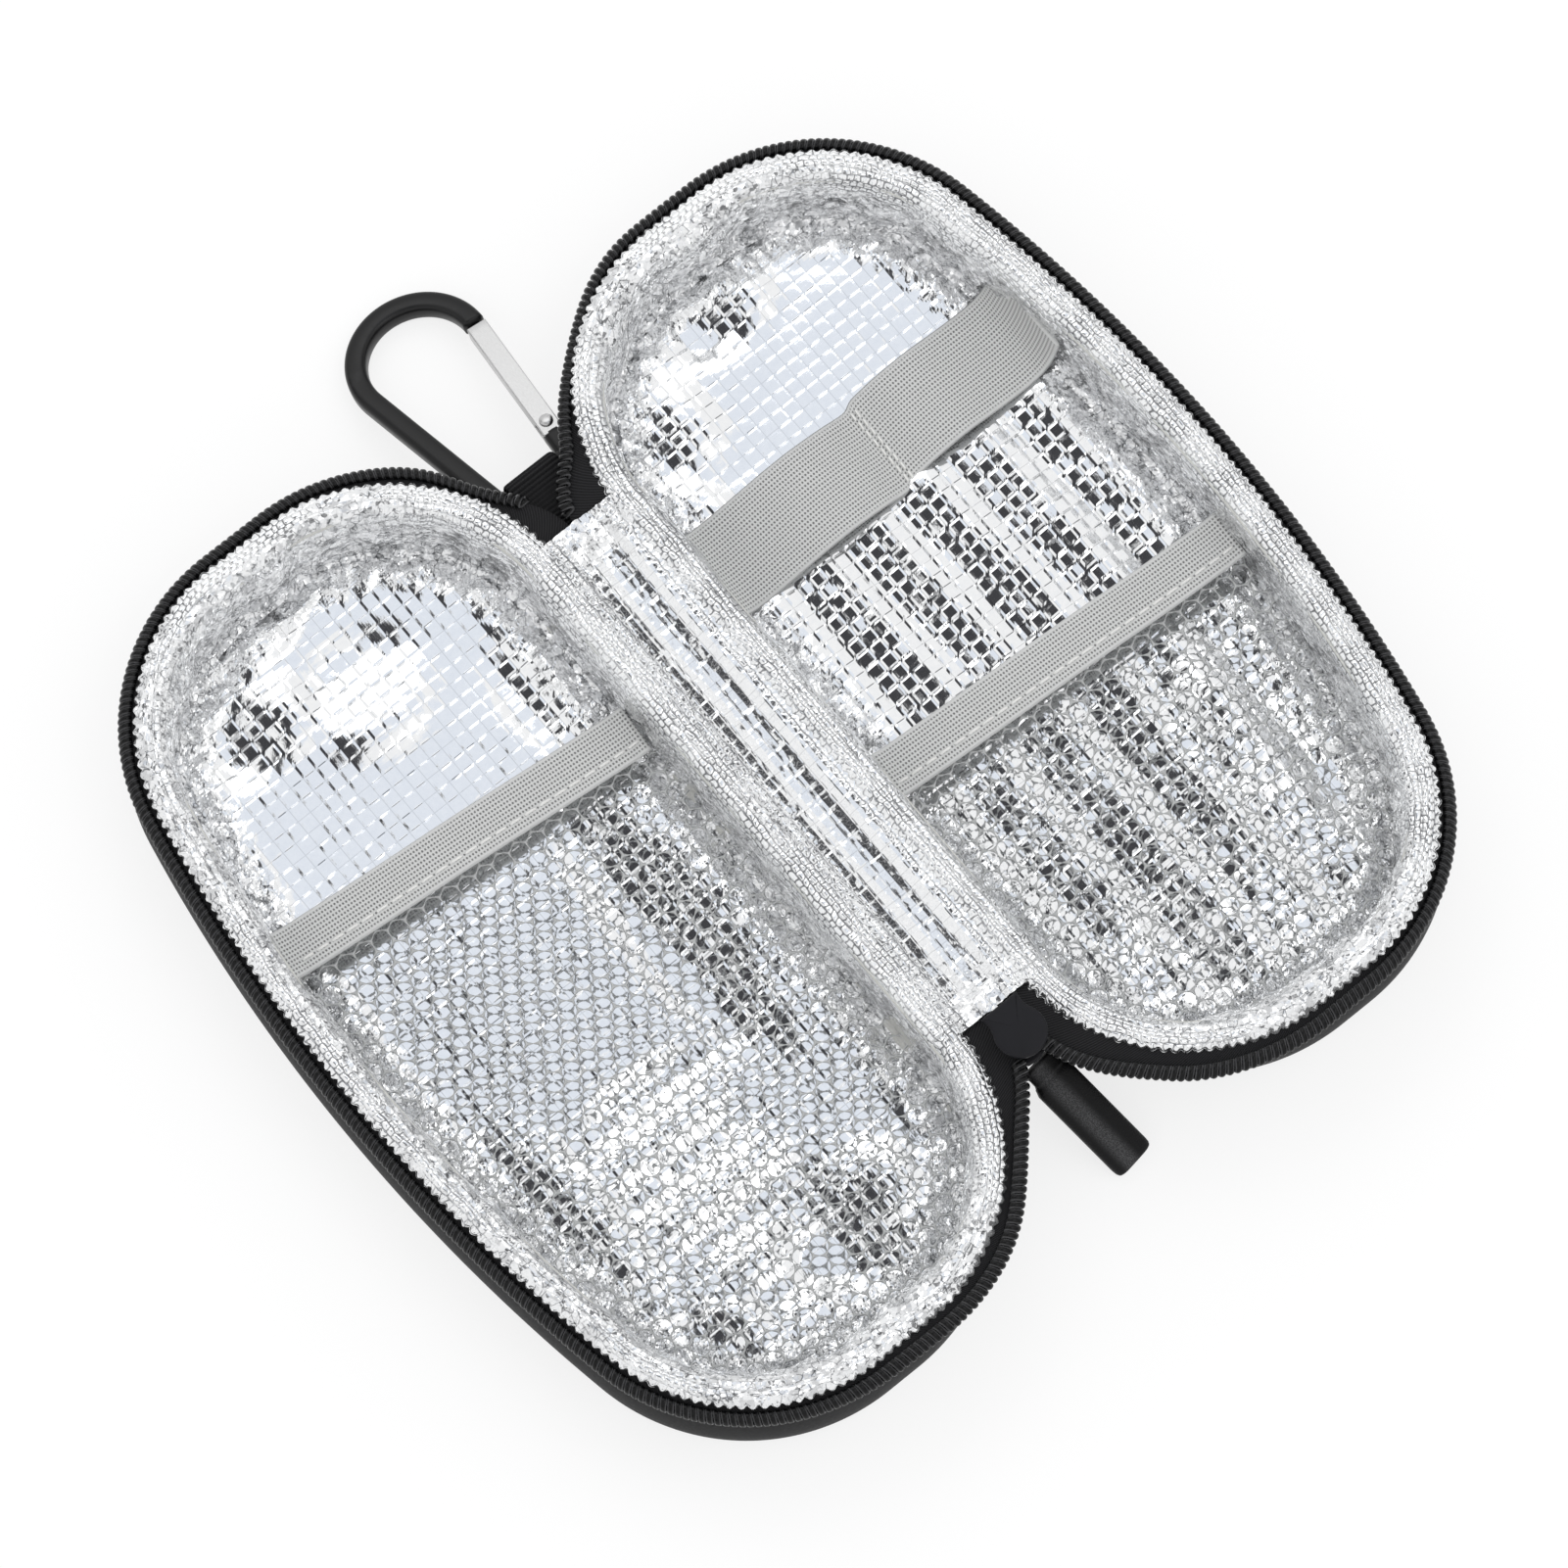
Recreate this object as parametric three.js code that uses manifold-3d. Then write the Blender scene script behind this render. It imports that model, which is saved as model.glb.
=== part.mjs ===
// Insulated zip case for injection pens, lying open with its insides up.
// Two moulded half shells are joined by a cloth spine along Y: the base on -X, the lid on +X.
// Millimetres, +Z up. The origin is under the middle of the case's bounding box, on the table.
import * as THREE from "three";
import { mergeVertices } from "three/addons/utils/BufferGeometryUtils.js";
import Module from "manifold-3d";

const wasm = await Module();
wasm.setup();

// Plan of one half, measured from the fold line
const RIM_LENGTH = 197.6;
const SPINE_TO_WALL = 9.1;
const RIM_WIDTH = 88.5;
const OUTER_BOW = 5.7;
const SPINE_CORNER_RADIUS = 39;
const OUTER_CORNER_RADIUS = 38;

// Section of one half
const RIM_HEIGHT = 24.5;
const WALL_BULGE = 4.4;
const LINING_BULGE = 1.8;
const BOTTOM_RADIUS = 9;
const SHELL_THICKNESS = 2;
const FOAM_THICKNESS = 2.4;
const LINER_THICKNESS = 0.8;
const BINDING_THICKNESS = 0.8;
const BINDING_OVERHANG = 0.7;
const SEAM_GAP = 0.3;
const FOLD_CLEARANCE = 0.2;

// Zip
const TAPE_THICKNESS = 0.6;
const TAPE_TUCK = 3.4;
const COIL_WIDTH = 4;
const COIL_HEIGHT = 2;
const COIL_FLAT = 2.4;
const COIL_REACH = 4.2;
const COIL_TO_FOLD = 3.6;

// Spine
const SPINE_CLOTH = 0.6;
const SPINE_FOIL = 0.5;
const SPINE_SAG = 2.5;

// Pockets: height of the net over the lining, its mesh and its elastic mouth
const POCKET_DEPTH = 5.4;
const NET_THICKNESS = 0.6;
const NET_BORDER = 2;
const NET_PITCH = 8;
const NET_STRAND = 1.3;
const ELASTIC_WIDTH = 10.5;
const ELASTIC_THICKNESS = 1.2;
const BASE_POCKET = { mouth: 30, slant: 0.09 };
const LID_POCKET = { mouth: -13.5, slant: -0.055 };

// Pen strap of the lid
const STRAP_Y = 42.5;
const STRAP_WIDTH = 20.5;
const STRAP_THICKNESS = 1.1;
const STRAP_RISE = 2.6;
const STRAP_SPINE_CLIMB = 4;
const STRAP_OUTER_CLIMB = 11;
const TACK_TO_SPINE = 49.5;
const TACK_WIDTH = 1.6;
const TACK_HEIGHT = 0.5;

// Slider and pull tab
const SLIDER_TO_SPINE = 3;
const SLIDER_LENGTH = 11.6;
const SLIDER_WIDTH = 10.4;
const SLIDER_REAR_WIDTH = 8.7;
const SLIDER_WAIST = 7.2;
const SHOULDER_DEGREES = 27;
const PLATE_THICKNESS = 1.3;
const POST_WIDTH = 2.6;
const POST_LENGTH = 4.5;
const BAIL_LENGTH = 10.4;
const BAIL_DROP = 4.4;
const BAIL_WIDTH = 3;
const BAIL_THICKNESS = 1.2;
const PULL_LENGTH = 33.3;
const PULL_TURN_DEGREES = 10;
const PULL_WIDTH = 9;
const PULL_THICKNESS = 3.4;
const PULL_EYE_BAR = 1.6;
const PULL_EYE_LENGTH = 4.4;
const PULL_RAIL = 1.2;
const PULL_CORNER = 1.2;
const PULL_PLAY = 1;

// Webbing loop and snap hook
const LOOP_X = 0.5;
const LOOP_WIDTH = 12;
const WEBBING_THICKNESS = 1;
const LOOP_REACH = 16.5;
const LOOP_DROP = 6;
const LOOP_TAIL = 5;
const LOOP_PLAY = 0.4;
const HOOK_LENGTH = 51;
const HOOK_WIDE = 25.6;
const HOOK_ROD = 4.5;
const HOOK_BEND = 2.6;
const HINGE_UP = 6.2;
const TONGUE_LENGTH = 3;
const GATE_TIP_GAP = 0.8;
const GATE_WIDTH = 4.2;
const GATE_SHEET = 0.8;
const TANG_THICKNESS = 2;
const TANG_RADIUS = 1.5;
const RIVET_RADIUS = 0.9;
const RIVET_HEAD_RADIUS = 1.6;
const RIVET_HEAD_HEIGHT = 0.5;
const RIVET_CLEARANCE = 0.2;
const SPRING_RADIUS = 0.8;
const SPRING_LENGTH = 10;
const TABLE_GAP = 0.3;

// Fineness of the curves
const CORNER_STEPS = 7;
const BOW_STEPS = 4;
const FILLET_STEPS = 4;
const ROD_SIDES = 8;
const ROD_STEPS = 40;
const SAG_STEPS = 6;
const PIN_SIDES = 10;

// Heights of the layers that stack up on the rim, and the plane where the closed halves meet
const tapeBottom = RIM_HEIGHT + SEAM_GAP;
const tapeTop = tapeBottom + TAPE_THICKNESS;
const bindingBottom = tapeTop + SEAM_GAP;
const bindingTop = bindingBottom + BINDING_THICKNESS;
const partingHeight = bindingTop + FOLD_CLEARANCE;
const coilTop = partingHeight - FOLD_CLEARANCE;
const coilBottom = coilTop - COIL_HEIGHT;

// Depths of the layers under the shell's outer face
const foamDepth = SHELL_THICKNESS + SEAM_GAP;
const linerDepth = foamDepth + FOAM_THICKNESS + SEAM_GAP;
const insideDepth = linerDepth + LINER_THICKNESS;
const floorHeight = insideDepth;

const rimPlan = {
  spine: SPINE_TO_WALL,
  outer: SPINE_TO_WALL + RIM_WIDTH,
  halfLength: RIM_LENGTH / 2,
  spineCorner: SPINE_CORNER_RADIUS,
  outerCorner: OUTER_CORNER_RADIUS,
  bow: OUTER_BOW,
};
const zipPlan = {
  spine: COIL_TO_FOLD,
  outer: rimPlan.outer + COIL_REACH,
  halfLength: rimPlan.halfLength + COIL_REACH,
  spineCorner: rimPlan.spineCorner + COIL_REACH,
  outerCorner: rimPlan.outerCorner + COIL_REACH,
  bow: rimPlan.bow,
};
const spineEnd = rimPlan.halfLength - rimPlan.spineCorner;

const FINISHES = {
  shellCloth: { color: 0x141416, roughness: 0.7, metalness: 0 },
  foam: { color: 0xd8d8d4, roughness: 0.9, metalness: 0 },
  foil: { color: 0xd4d8de, roughness: 0.22, metalness: 0.9 },
  zipTape: { color: 0x18181a, roughness: 0.85, metalness: 0 },
  zipCoil: { color: 0x101012, roughness: 0.35, metalness: 0 },
  net: { color: 0xc9ccce, roughness: 0.6, metalness: 0 },
  elastic: { color: 0xadaeab, roughness: 0.85, metalness: 0 },
  thread: { color: 0xc4c5c2, roughness: 0.7, metalness: 0 },
  webbing: { color: 0x0e0e10, roughness: 0.9, metalness: 0 },
  blackAnodised: { color: 0x131315, roughness: 0.35, metalness: 0.6 },
  steel: { color: 0xc8cacc, roughness: 0.25, metalness: 1 },
  castSlider: { color: 0x1b1b1e, roughness: 0.35, metalness: 0.4 },
  pullTab: { color: 0x151516, roughness: 0.6, metalness: 0 },
};

function addPiece(group, name, geometry, finish) {
  const piece = new THREE.Mesh(geometry, new THREE.MeshStandardMaterial(finish));
  piece.name = name;
  group.add(piece);
  return piece;
}

// Joins rings of equally many points into one closed surface, capped at both ends or run into a loop.
function loft(rings, loop = false) {
  const count = rings[0].length;
  const index = [];
  const bands = loop ? rings.length : rings.length - 1;
  for (let band = 0; band < bands; band++) {
    const here = band * count;
    const next = ((band + 1) % rings.length) * count;
    for (let i = 0; i < count; i++) {
      const j = (i + 1) % count;
      index.push(here + i, here + j, next + j, here + i, next + j, next + i);
    }
  }
  const last = (rings.length - 1) * count;
  for (let i = 1; i < count - 1 && !loop; i++) {
    index.push(0, i + 1, i, last, last + i, last + i + 1);
  }
  const geometry = new THREE.BufferGeometry();
  const numbers = rings.flat().flatMap((point) => point.toArray());
  geometry.setAttribute("position", new THREE.Float32BufferAttribute(numbers, 3));
  geometry.setIndex(index);
  geometry.computeVertexNormals();
  return geometry;
}

// An extrusion of a shape drawn in Y and Z, centred on x = 0.
function extrudeAcross(shape, width, curveSegments = 4) {
  const geometry = new THREE.ExtrudeGeometry(shape, { depth: width, bevelEnabled: false, curveSegments });
  geometry.translate(0, 0, -width / 2);
  const axes = [new THREE.Vector3(0, 1, 0), new THREE.Vector3(0, 0, 1), new THREE.Vector3(1, 0, 0)];
  return geometry.applyMatrix4(new THREE.Matrix4().makeBasis(...axes));
}

// An extrusion of a shape drawn in X and Z, centred on y = 0.
function extrudeAlong(shape, length, curveSegments = 4) {
  const geometry = new THREE.ExtrudeGeometry(shape, { depth: length, bevelEnabled: false, curveSegments });
  geometry.translate(0, 0, -length / 2);
  const axes = [new THREE.Vector3(1, 0, 0), new THREE.Vector3(0, 0, 1), new THREE.Vector3(0, -1, 0)];
  return geometry.applyMatrix4(new THREE.Matrix4().makeBasis(...axes));
}

// A level plate of a plan shape between two heights.
function plate(shape, bottom, top, curveSegments = 6) {
  const geometry = new THREE.ExtrudeGeometry(shape, {
    depth: top - bottom,
    bevelEnabled: false,
    curveSegments,
  });
  return geometry.translate(0, 0, bottom);
}

function toSolid(geometry) {
  const bare = new THREE.BufferGeometry();
  const source = geometry.index ? geometry.toNonIndexed() : geometry;
  bare.setAttribute("position", source.getAttribute("position").clone());
  const merged = mergeVertices(bare, 1e-4);
  return new wasm.Manifold(
    new wasm.Mesh({
      numProp: 3,
      vertProperties: merged.getAttribute("position").array,
      triVerts: new Uint32Array(merged.index.array),
    }),
  );
}

function fromSolid(solid) {
  const { vertProperties, triVerts } = solid.getMesh();
  const geometry = new THREE.BufferGeometry();
  geometry.setAttribute("position", new THREE.BufferAttribute(vertProperties, 3));
  geometry.setIndex(new THREE.BufferAttribute(triVerts, 1));
  geometry.computeVertexNormals();
  return geometry;
}

function join(...geometries) {
  return fromSolid(geometries.map(toSolid).reduce((whole, next) => whole.add(next)));
}

function cut(geometry, ...cutters) {
  return fromSolid(cutters.map(toSolid).reduce((left, next) => left.subtract(next), toSolid(geometry)));
}

function box(low, high) {
  const size = high.clone().sub(low);
  const middle = low.clone().add(high).multiplyScalar(0.5);
  return new THREE.BoxGeometry(size.x, size.y, size.z).translate(middle.x, middle.y, middle.z);
}

// Plan of one half as tangent arcs, drawn inwards by an inset. The run starts at the spine's -Y end and
// goes round the outer side to its +Y end, as the zip does. The spine side closes it with a straight line.
function planRun(plan, inset = 0) {
  const outerX = plan.outer - plan.outerCorner;
  const outerY = plan.halfLength - plan.outerCorner;
  const spineX = plan.spine + plan.spineCorner;
  const spineY = plan.halfLength - plan.spineCorner;
  const bowAngle = 2 * Math.atan(plan.bow / outerY);
  const bowX = outerX - outerY / Math.tan(bowAngle);
  const bowRadius = plan.outerCorner + outerY / Math.sin(bowAngle);
  const arc = (x, y, radius, from, to, steps) =>
    new THREE.EllipseCurve(x, y, radius - inset, radius - inset, from, to).getPoints(steps);
  const quarter = Math.PI / 2;
  return [
    ...arc(spineX, -spineY, plan.spineCorner, 2 * quarter, 3 * quarter, CORNER_STEPS),
    ...arc(outerX, -outerY, plan.outerCorner, 3 * quarter, 4 * quarter - bowAngle, CORNER_STEPS),
    ...arc(bowX, 0, bowRadius, -bowAngle, bowAngle, BOW_STEPS).slice(1),
    ...arc(outerX, outerY, plan.outerCorner, bowAngle, quarter, CORNER_STEPS).slice(1),
    ...arc(spineX, spineY, plan.spineCorner, quarter, 2 * quarter, CORNER_STEPS),
  ];
}

function raise(points, height) {
  return points.map((point) => new THREE.Vector3(point.x, point.y, height));
}

// Plan of one half below its rim, where the wall bulges outwards everywhere but along the spine.
function bulgedPlan(bulge) {
  return {
    spine: rimPlan.spine,
    outer: rimPlan.outer + bulge,
    halfLength: rimPlan.halfLength + bulge,
    spineCorner: rimPlan.spineCorner + bulge,
    outerCorner: rimPlan.outerCorner + bulge,
    bow: rimPlan.bow,
  };
}

// Bulges, insets and heights down one layer's face, from its top edge to the flat floor.
function faceProfile(depth, top) {
  const profile = [{ bulge: 0, inset: depth, height: top }];
  const bulge = THREE.MathUtils.lerp(WALL_BULGE, LINING_BULGE, depth / insideDepth);
  const radius = BOTTOM_RADIUS - depth;
  for (let step = 0; step <= FILLET_STEPS; step++) {
    const angle = ((Math.PI / 2) * step) / FILLET_STEPS;
    profile.push({
      bulge,
      inset: BOTTOM_RADIUS - radius * Math.cos(angle),
      height: BOTTOM_RADIUS - radius * Math.sin(angle),
    });
  }
  return profile;
}

// Outline of the lining's inner face at a height, drawn in by the gap that a piece keeps from it.
function insideRun(height) {
  const profile = faceProfile(insideDepth, bindingBottom - SEAM_GAP);
  const below = profile.findIndex((point) => point.height <= height);
  const from = profile[Math.max(below - 1, 0)];
  const to = profile[Math.max(below, 0)];
  const share = from === to ? 0 : (from.height - height) / (from.height - to.height);
  const bulge = THREE.MathUtils.lerp(from.bulge, to.bulge, share);
  const inset = THREE.MathUtils.lerp(from.inset, to.inset, share);
  return planRun(bulgedPlan(bulge), inset + SEAM_GAP);
}

// A tray of one layer: up its outer face, over the rim and down its inner face.
function tray(depth, thickness, top) {
  const rings = [...faceProfile(depth, top).reverse(), ...faceProfile(depth + thickness, top)];
  return loft(rings.map(({ bulge, inset, height }) => raise(planRun(bulgedPlan(bulge), inset), height)));
}

// A band swept along the zip's run: each edge of its section is a run of points at a height.
function sweep(edges, loop = false) {
  const sections = edges[0].run.map((_, i) =>
    edges.map(({ run, height }) => new THREE.Vector3(run[i].x, run[i].y, height)),
  );
  return loft(sections, loop);
}

function band(inner, outer, bottom, top, loop = false) {
  const corners = [
    { run: inner, height: bottom },
    { run: inner, height: top },
    { run: outer, height: top },
    { run: outer, height: bottom },
  ];
  return sweep(corners, loop);
}

function coilGeometry() {
  const middle = (coilBottom + coilTop) / 2;
  const edge = (inset, height) => ({ run: planRun(zipPlan, inset), height });
  return sweep([
    edge(COIL_WIDTH / 2, middle),
    edge(COIL_FLAT / 2, coilTop),
    edge(-COIL_FLAT / 2, coilTop),
    edge(-COIL_WIDTH / 2, middle),
    edge(-COIL_FLAT / 2, coilBottom),
    edge(COIL_FLAT / 2, coilBottom),
  ]);
}

// The part of a convex plan on the side of a slanted line where side * (y - line) is negative.
function clipPlan(points, line, side) {
  const over = (point) => side * (point.y - line(point.x));
  return points.flatMap((point, i) => {
    const next = points[(i + 1) % points.length];
    const here = over(point);
    const there = over(next);
    const kept = here <= 0 ? [point] : [];
    return here * there < 0 ? [...kept, point.clone().lerp(next, here / (here - there))] : kept;
  });
}

// Distance of a point inside a convex anticlockwise plan from its nearest side.
function depthInside(points, point) {
  const depths = points.map((from, i) => {
    const side = points[(i + 1) % points.length].clone().sub(from);
    return side.cross(point.clone().sub(from)) / side.length();
  });
  return Math.min(...depths);
}

// A flat net of hexagon gaps inside a plain border.
function netGeometry(border, bottom) {
  const shape = new THREE.Shape(border);
  const gapRadius = (NET_PITCH - NET_STRAND) / Math.sqrt(3);
  const rowStep = (NET_PITCH * Math.sqrt(3)) / 2;
  const extent = new THREE.Box2().setFromPoints(border);
  const rows = Math.ceil((extent.max.y - extent.min.y) / rowStep);
  const columns = Math.ceil((extent.max.x - extent.min.x) / NET_PITCH);
  for (let row = 0; row <= rows; row++) {
    for (let column = 0; column <= columns; column++) {
      const x = extent.min.x + (column + (row % 2) / 2) * NET_PITCH;
      const centre = new THREE.Vector2(x, extent.min.y + row * rowStep);
      if (depthInside(border, centre) < gapRadius + NET_BORDER) continue;
      const gap = Array.from({ length: 6 }, (_, corner) => {
        const angle = (corner * Math.PI) / 3 + Math.PI / 6;
        return new THREE.Vector2(Math.cos(angle), Math.sin(angle)).multiplyScalar(gapRadius).add(centre);
      });
      shape.holes.push(new THREE.Path(gap));
    }
  }
  return plate(shape, bottom, bottom + NET_THICKNESS);
}

// Net pocket across one half, and the elastic sewn on its mouth.
function addPocket(group, half, { mouth, slant }) {
  const middleX = rimPlan.spine + RIM_WIDTH / 2;
  const line = (offset) => (x) => mouth + offset + slant * (x - middleX);
  const netBottom = floorHeight + POCKET_DEPTH;
  const border = clipPlan(insideRun(netBottom), line(ELASTIC_WIDTH / 2), 1);
  addPiece(group, `${half}_pocket_net`, netGeometry(border, netBottom), FINISHES.net);
  const elasticBottom = netBottom + NET_THICKNESS + SEAM_GAP;
  const below = clipPlan(insideRun(elasticBottom), line(ELASTIC_WIDTH / 2), 1);
  const strip = new THREE.Shape(clipPlan(below, line(-ELASTIC_WIDTH / 2), -1));
  const elastic = plate(strip, elasticBottom, elasticBottom + ELASTIC_THICKNESS);
  addPiece(group, `${half}_pocket_elastic`, elastic, FINISHES.elastic);
}

// One half: shell, foam, lining, rim binding and its side of the zip, drawn on +X.
function makeHalf(half, pocket) {
  const group = new THREE.Group();
  addPiece(group, `${half}_shell`, tray(0, SHELL_THICKNESS, RIM_HEIGHT), FINISHES.shellCloth);
  addPiece(group, `${half}_foam`, tray(foamDepth, FOAM_THICKNESS, RIM_HEIGHT), FINISHES.foam);
  const linerTop = bindingBottom - SEAM_GAP;
  addPiece(group, `${half}_liner`, tray(linerDepth, LINER_THICKNESS, linerTop), FINISHES.foil);
  const bindingInner = planRun(rimPlan, insideDepth);
  const bindingOuter = planRun(rimPlan, -BINDING_OVERHANG);
  const binding = band(bindingInner, bindingOuter, bindingBottom, bindingTop, true);
  addPiece(group, `${half}_binding`, binding, FINISHES.foil);
  const tapeInner = planRun(rimPlan, TAPE_TUCK);
  const tapeOuter = planRun(zipPlan, COIL_WIDTH / 2 + SEAM_GAP);
  const tape = band(tapeInner, tapeOuter, tapeBottom, tapeTop);
  addPiece(group, `${half}_zip_tape`, tape, FINISHES.zipTape);
  addPiece(group, `${half}_zip_coil`, coilGeometry(), FINISHES.zipCoil);
  addPocket(group, half, pocket);
  return group;
}

// A ribbon's section: its underside from left to right, and its upper side a thickness away.
function ribbonShape(underside, thickness) {
  const upper = underside.map((point, i) => {
    const before = underside[Math.max(i - 1, 0)];
    const after = underside[Math.min(i + 1, underside.length - 1)];
    const along = after.clone().sub(before).normalize();
    return new THREE.Vector2(-along.y, along.x).multiplyScalar(thickness).add(point);
  });
  return new THREE.Shape([...underside, ...upper.reverse()]);
}

// Outermost x of a convex plan at a given y.
function reachAt(points, y) {
  const crossings = clipPlan(points, () => y, 1).filter((point) => Math.abs(point.y - y) < 1e-6);
  return Math.max(...crossings.map((point) => point.x));
}

// Wide pen strap across the lid: it climbs both walls, is tacked down once and stands up in a low
// arch on each side of the tack.
function addStrap(group) {
  const far = Math.abs(STRAP_Y) + STRAP_WIDTH / 2;
  const heights = faceProfile(insideDepth, bindingBottom).map((point) => point.height);
  const climbed = (climb) => [
    floorHeight + climb,
    ...heights.filter((height) => height < floorHeight + climb),
  ];
  const spineWall = climbed(STRAP_SPINE_CLIMB).map((height) => {
    return new THREE.Vector2(insideRun(height)[0].x, height + SEAM_GAP);
  });
  const outerWall = climbed(STRAP_OUTER_CLIMB).map((height) => {
    return new THREE.Vector2(reachAt(insideRun(height), far), height + SEAM_GAP);
  });
  const start = spineWall.at(-1);
  const end = outerWall.at(-1);
  const middle = new THREE.Vector2(rimPlan.spine + TACK_TO_SPINE, floorHeight + SEAM_GAP);
  const arch = (from, to) =>
    [1, 2, 3].map((step) => {
      const rise = STRAP_RISE * Math.sin((Math.PI * step) / 4);
      return from.clone().lerp(to, step / 4).add(new THREE.Vector2(0, rise));
    });
  const outerArch = arch(middle, end);
  const underside = [...spineWall, ...arch(start, middle), middle, ...outerArch, ...outerWall.reverse()];
  const strapShape = ribbonShape(underside, STRAP_THICKNESS);
  const strap = addPiece(group, "lid_strap", extrudeAlong(strapShape, STRAP_WIDTH), FINISHES.elastic);
  strap.position.y = STRAP_Y;

  // The tack lies in the valley between the arches, clear of their slopes.
  const beside = outerArch[0].clone().sub(middle);
  const valleyRise = ((beside.y / beside.x) * TACK_WIDTH) / 2;
  const tackBottom = middle.y + STRAP_THICKNESS + valleyRise + SEAM_GAP;
  const half = new THREE.Vector3(TACK_WIDTH / 2, STRAP_WIDTH / 2 - TACK_WIDTH, 0);
  const low = new THREE.Vector3(middle.x, STRAP_Y, tackBottom).sub(half);
  const high = new THREE.Vector3(middle.x, STRAP_Y, tackBottom + TACK_HEIGHT).add(half);
  addPiece(group, "lid_strap_tack", box(low, high), FINISHES.thread);
}

// Cloth or foil of the spine: it hangs in one shallow curve between the two rims.
function spineShape(halfWidth, flat, bottom, thickness) {
  const shape = new THREE.Shape();
  const sagControl = bottom - 2 * SPINE_SAG;
  shape.moveTo(-halfWidth, bottom);
  shape.lineTo(-flat, bottom);
  shape.quadraticCurveTo(0, sagControl, flat, bottom);
  shape.lineTo(halfWidth, bottom);
  shape.lineTo(halfWidth, bottom + thickness);
  shape.lineTo(flat, bottom + thickness);
  shape.quadraticCurveTo(0, sagControl + thickness, -flat, bottom + thickness);
  shape.lineTo(-halfWidth, bottom + thickness);
  return shape;
}

function addSpine(group) {
  const length = 2 * (spineEnd - SEAM_GAP);
  const bindingEdge = rimPlan.spine - BINDING_OVERHANG;
  const cloth = spineShape(rimPlan.spine + TAPE_TUCK, rimPlan.spine, tapeBottom, SPINE_CLOTH);
  addPiece(group, "spine_strip", extrudeAlong(cloth, length, SAG_STEPS), FINISHES.zipTape);
  const foilEdge = bindingEdge - SEAM_GAP;
  const foilBottom = tapeBottom + SPINE_CLOTH + SEAM_GAP;
  const foil = spineShape(foilEdge, foilEdge - SEAM_GAP, foilBottom, SPINE_FOIL);
  addPiece(group, "spine_liner", extrudeAlong(foil, length, SAG_STEPS), FINISHES.foil);
}

// Zip slider, drawn with its rear edge at y = 0 and the plane where the halves meet at z = 0. The two
// shield plates pass over and under both coils, the post stands between them, the bail hangs underneath.
const channelHalf = partingHeight - coilBottom + SEAM_GAP;
const plateFace = channelHalf + PLATE_THICKNESS;
const bailFront = -(SLIDER_LENGTH + BAIL_LENGTH) / 2;
const pullPivot = new THREE.Vector2(
  bailFront + BAIL_THICKNESS + PULL_PLAY + PULL_EYE_BAR / 2,
  -plateFace - (BAIL_DROP - BAIL_THICKNESS) / 2,
);

function sliderGeometry() {
  const radius = SLIDER_WIDTH / 2;
  const front = radius - SLIDER_LENGTH;
  const shoulder = THREE.MathUtils.degToRad(SHOULDER_DEGREES);
  const shoulderX = radius * Math.cos(shoulder);
  const shoulderY = front + radius * Math.sin(shoulder);
  const shield = new THREE.Shape();
  shield.moveTo(-SLIDER_REAR_WIDTH / 2, 0);
  shield.quadraticCurveTo(-SLIDER_WAIST / 2, shoulderY / 2, -shoulderX, shoulderY);
  shield.absarc(0, front, radius, Math.PI - shoulder, 2 * Math.PI + shoulder);
  shield.quadraticCurveTo(SLIDER_WAIST / 2, shoulderY / 2, SLIDER_REAR_WIDTH / 2, 0);
  const top = plate(shield, channelHalf, plateFace);
  const bottom = plate(shield, -plateFace, -channelHalf);
  const rooted = channelHalf + PLATE_THICKNESS / 2;
  const post = box(
    new THREE.Vector3(-POST_WIDTH / 2, PLATE_THICKNESS - SLIDER_LENGTH, -rooted),
    new THREE.Vector3(POST_WIDTH / 2, PLATE_THICKNESS - SLIDER_LENGTH + POST_LENGTH, rooted),
  );
  const bail = new THREE.Shape([
    new THREE.Vector2(bailFront, -rooted),
    new THREE.Vector2(bailFront, -plateFace - BAIL_DROP),
    new THREE.Vector2(bailFront + BAIL_LENGTH, -plateFace - BAIL_DROP),
    new THREE.Vector2(bailFront + BAIL_LENGTH, -rooted),
    new THREE.Vector2(bailFront + BAIL_LENGTH - BAIL_THICKNESS, -rooted),
    new THREE.Vector2(bailFront + BAIL_LENGTH - BAIL_THICKNESS, -plateFace - BAIL_DROP + BAIL_THICKNESS),
    new THREE.Vector2(bailFront + BAIL_THICKNESS, -plateFace - BAIL_DROP + BAIL_THICKNESS),
    new THREE.Vector2(bailFront + BAIL_THICKNESS, -rooted),
  ]);
  return join(top, bottom, post, extrudeAcross(bail, BAIL_WIDTH));
}

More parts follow.
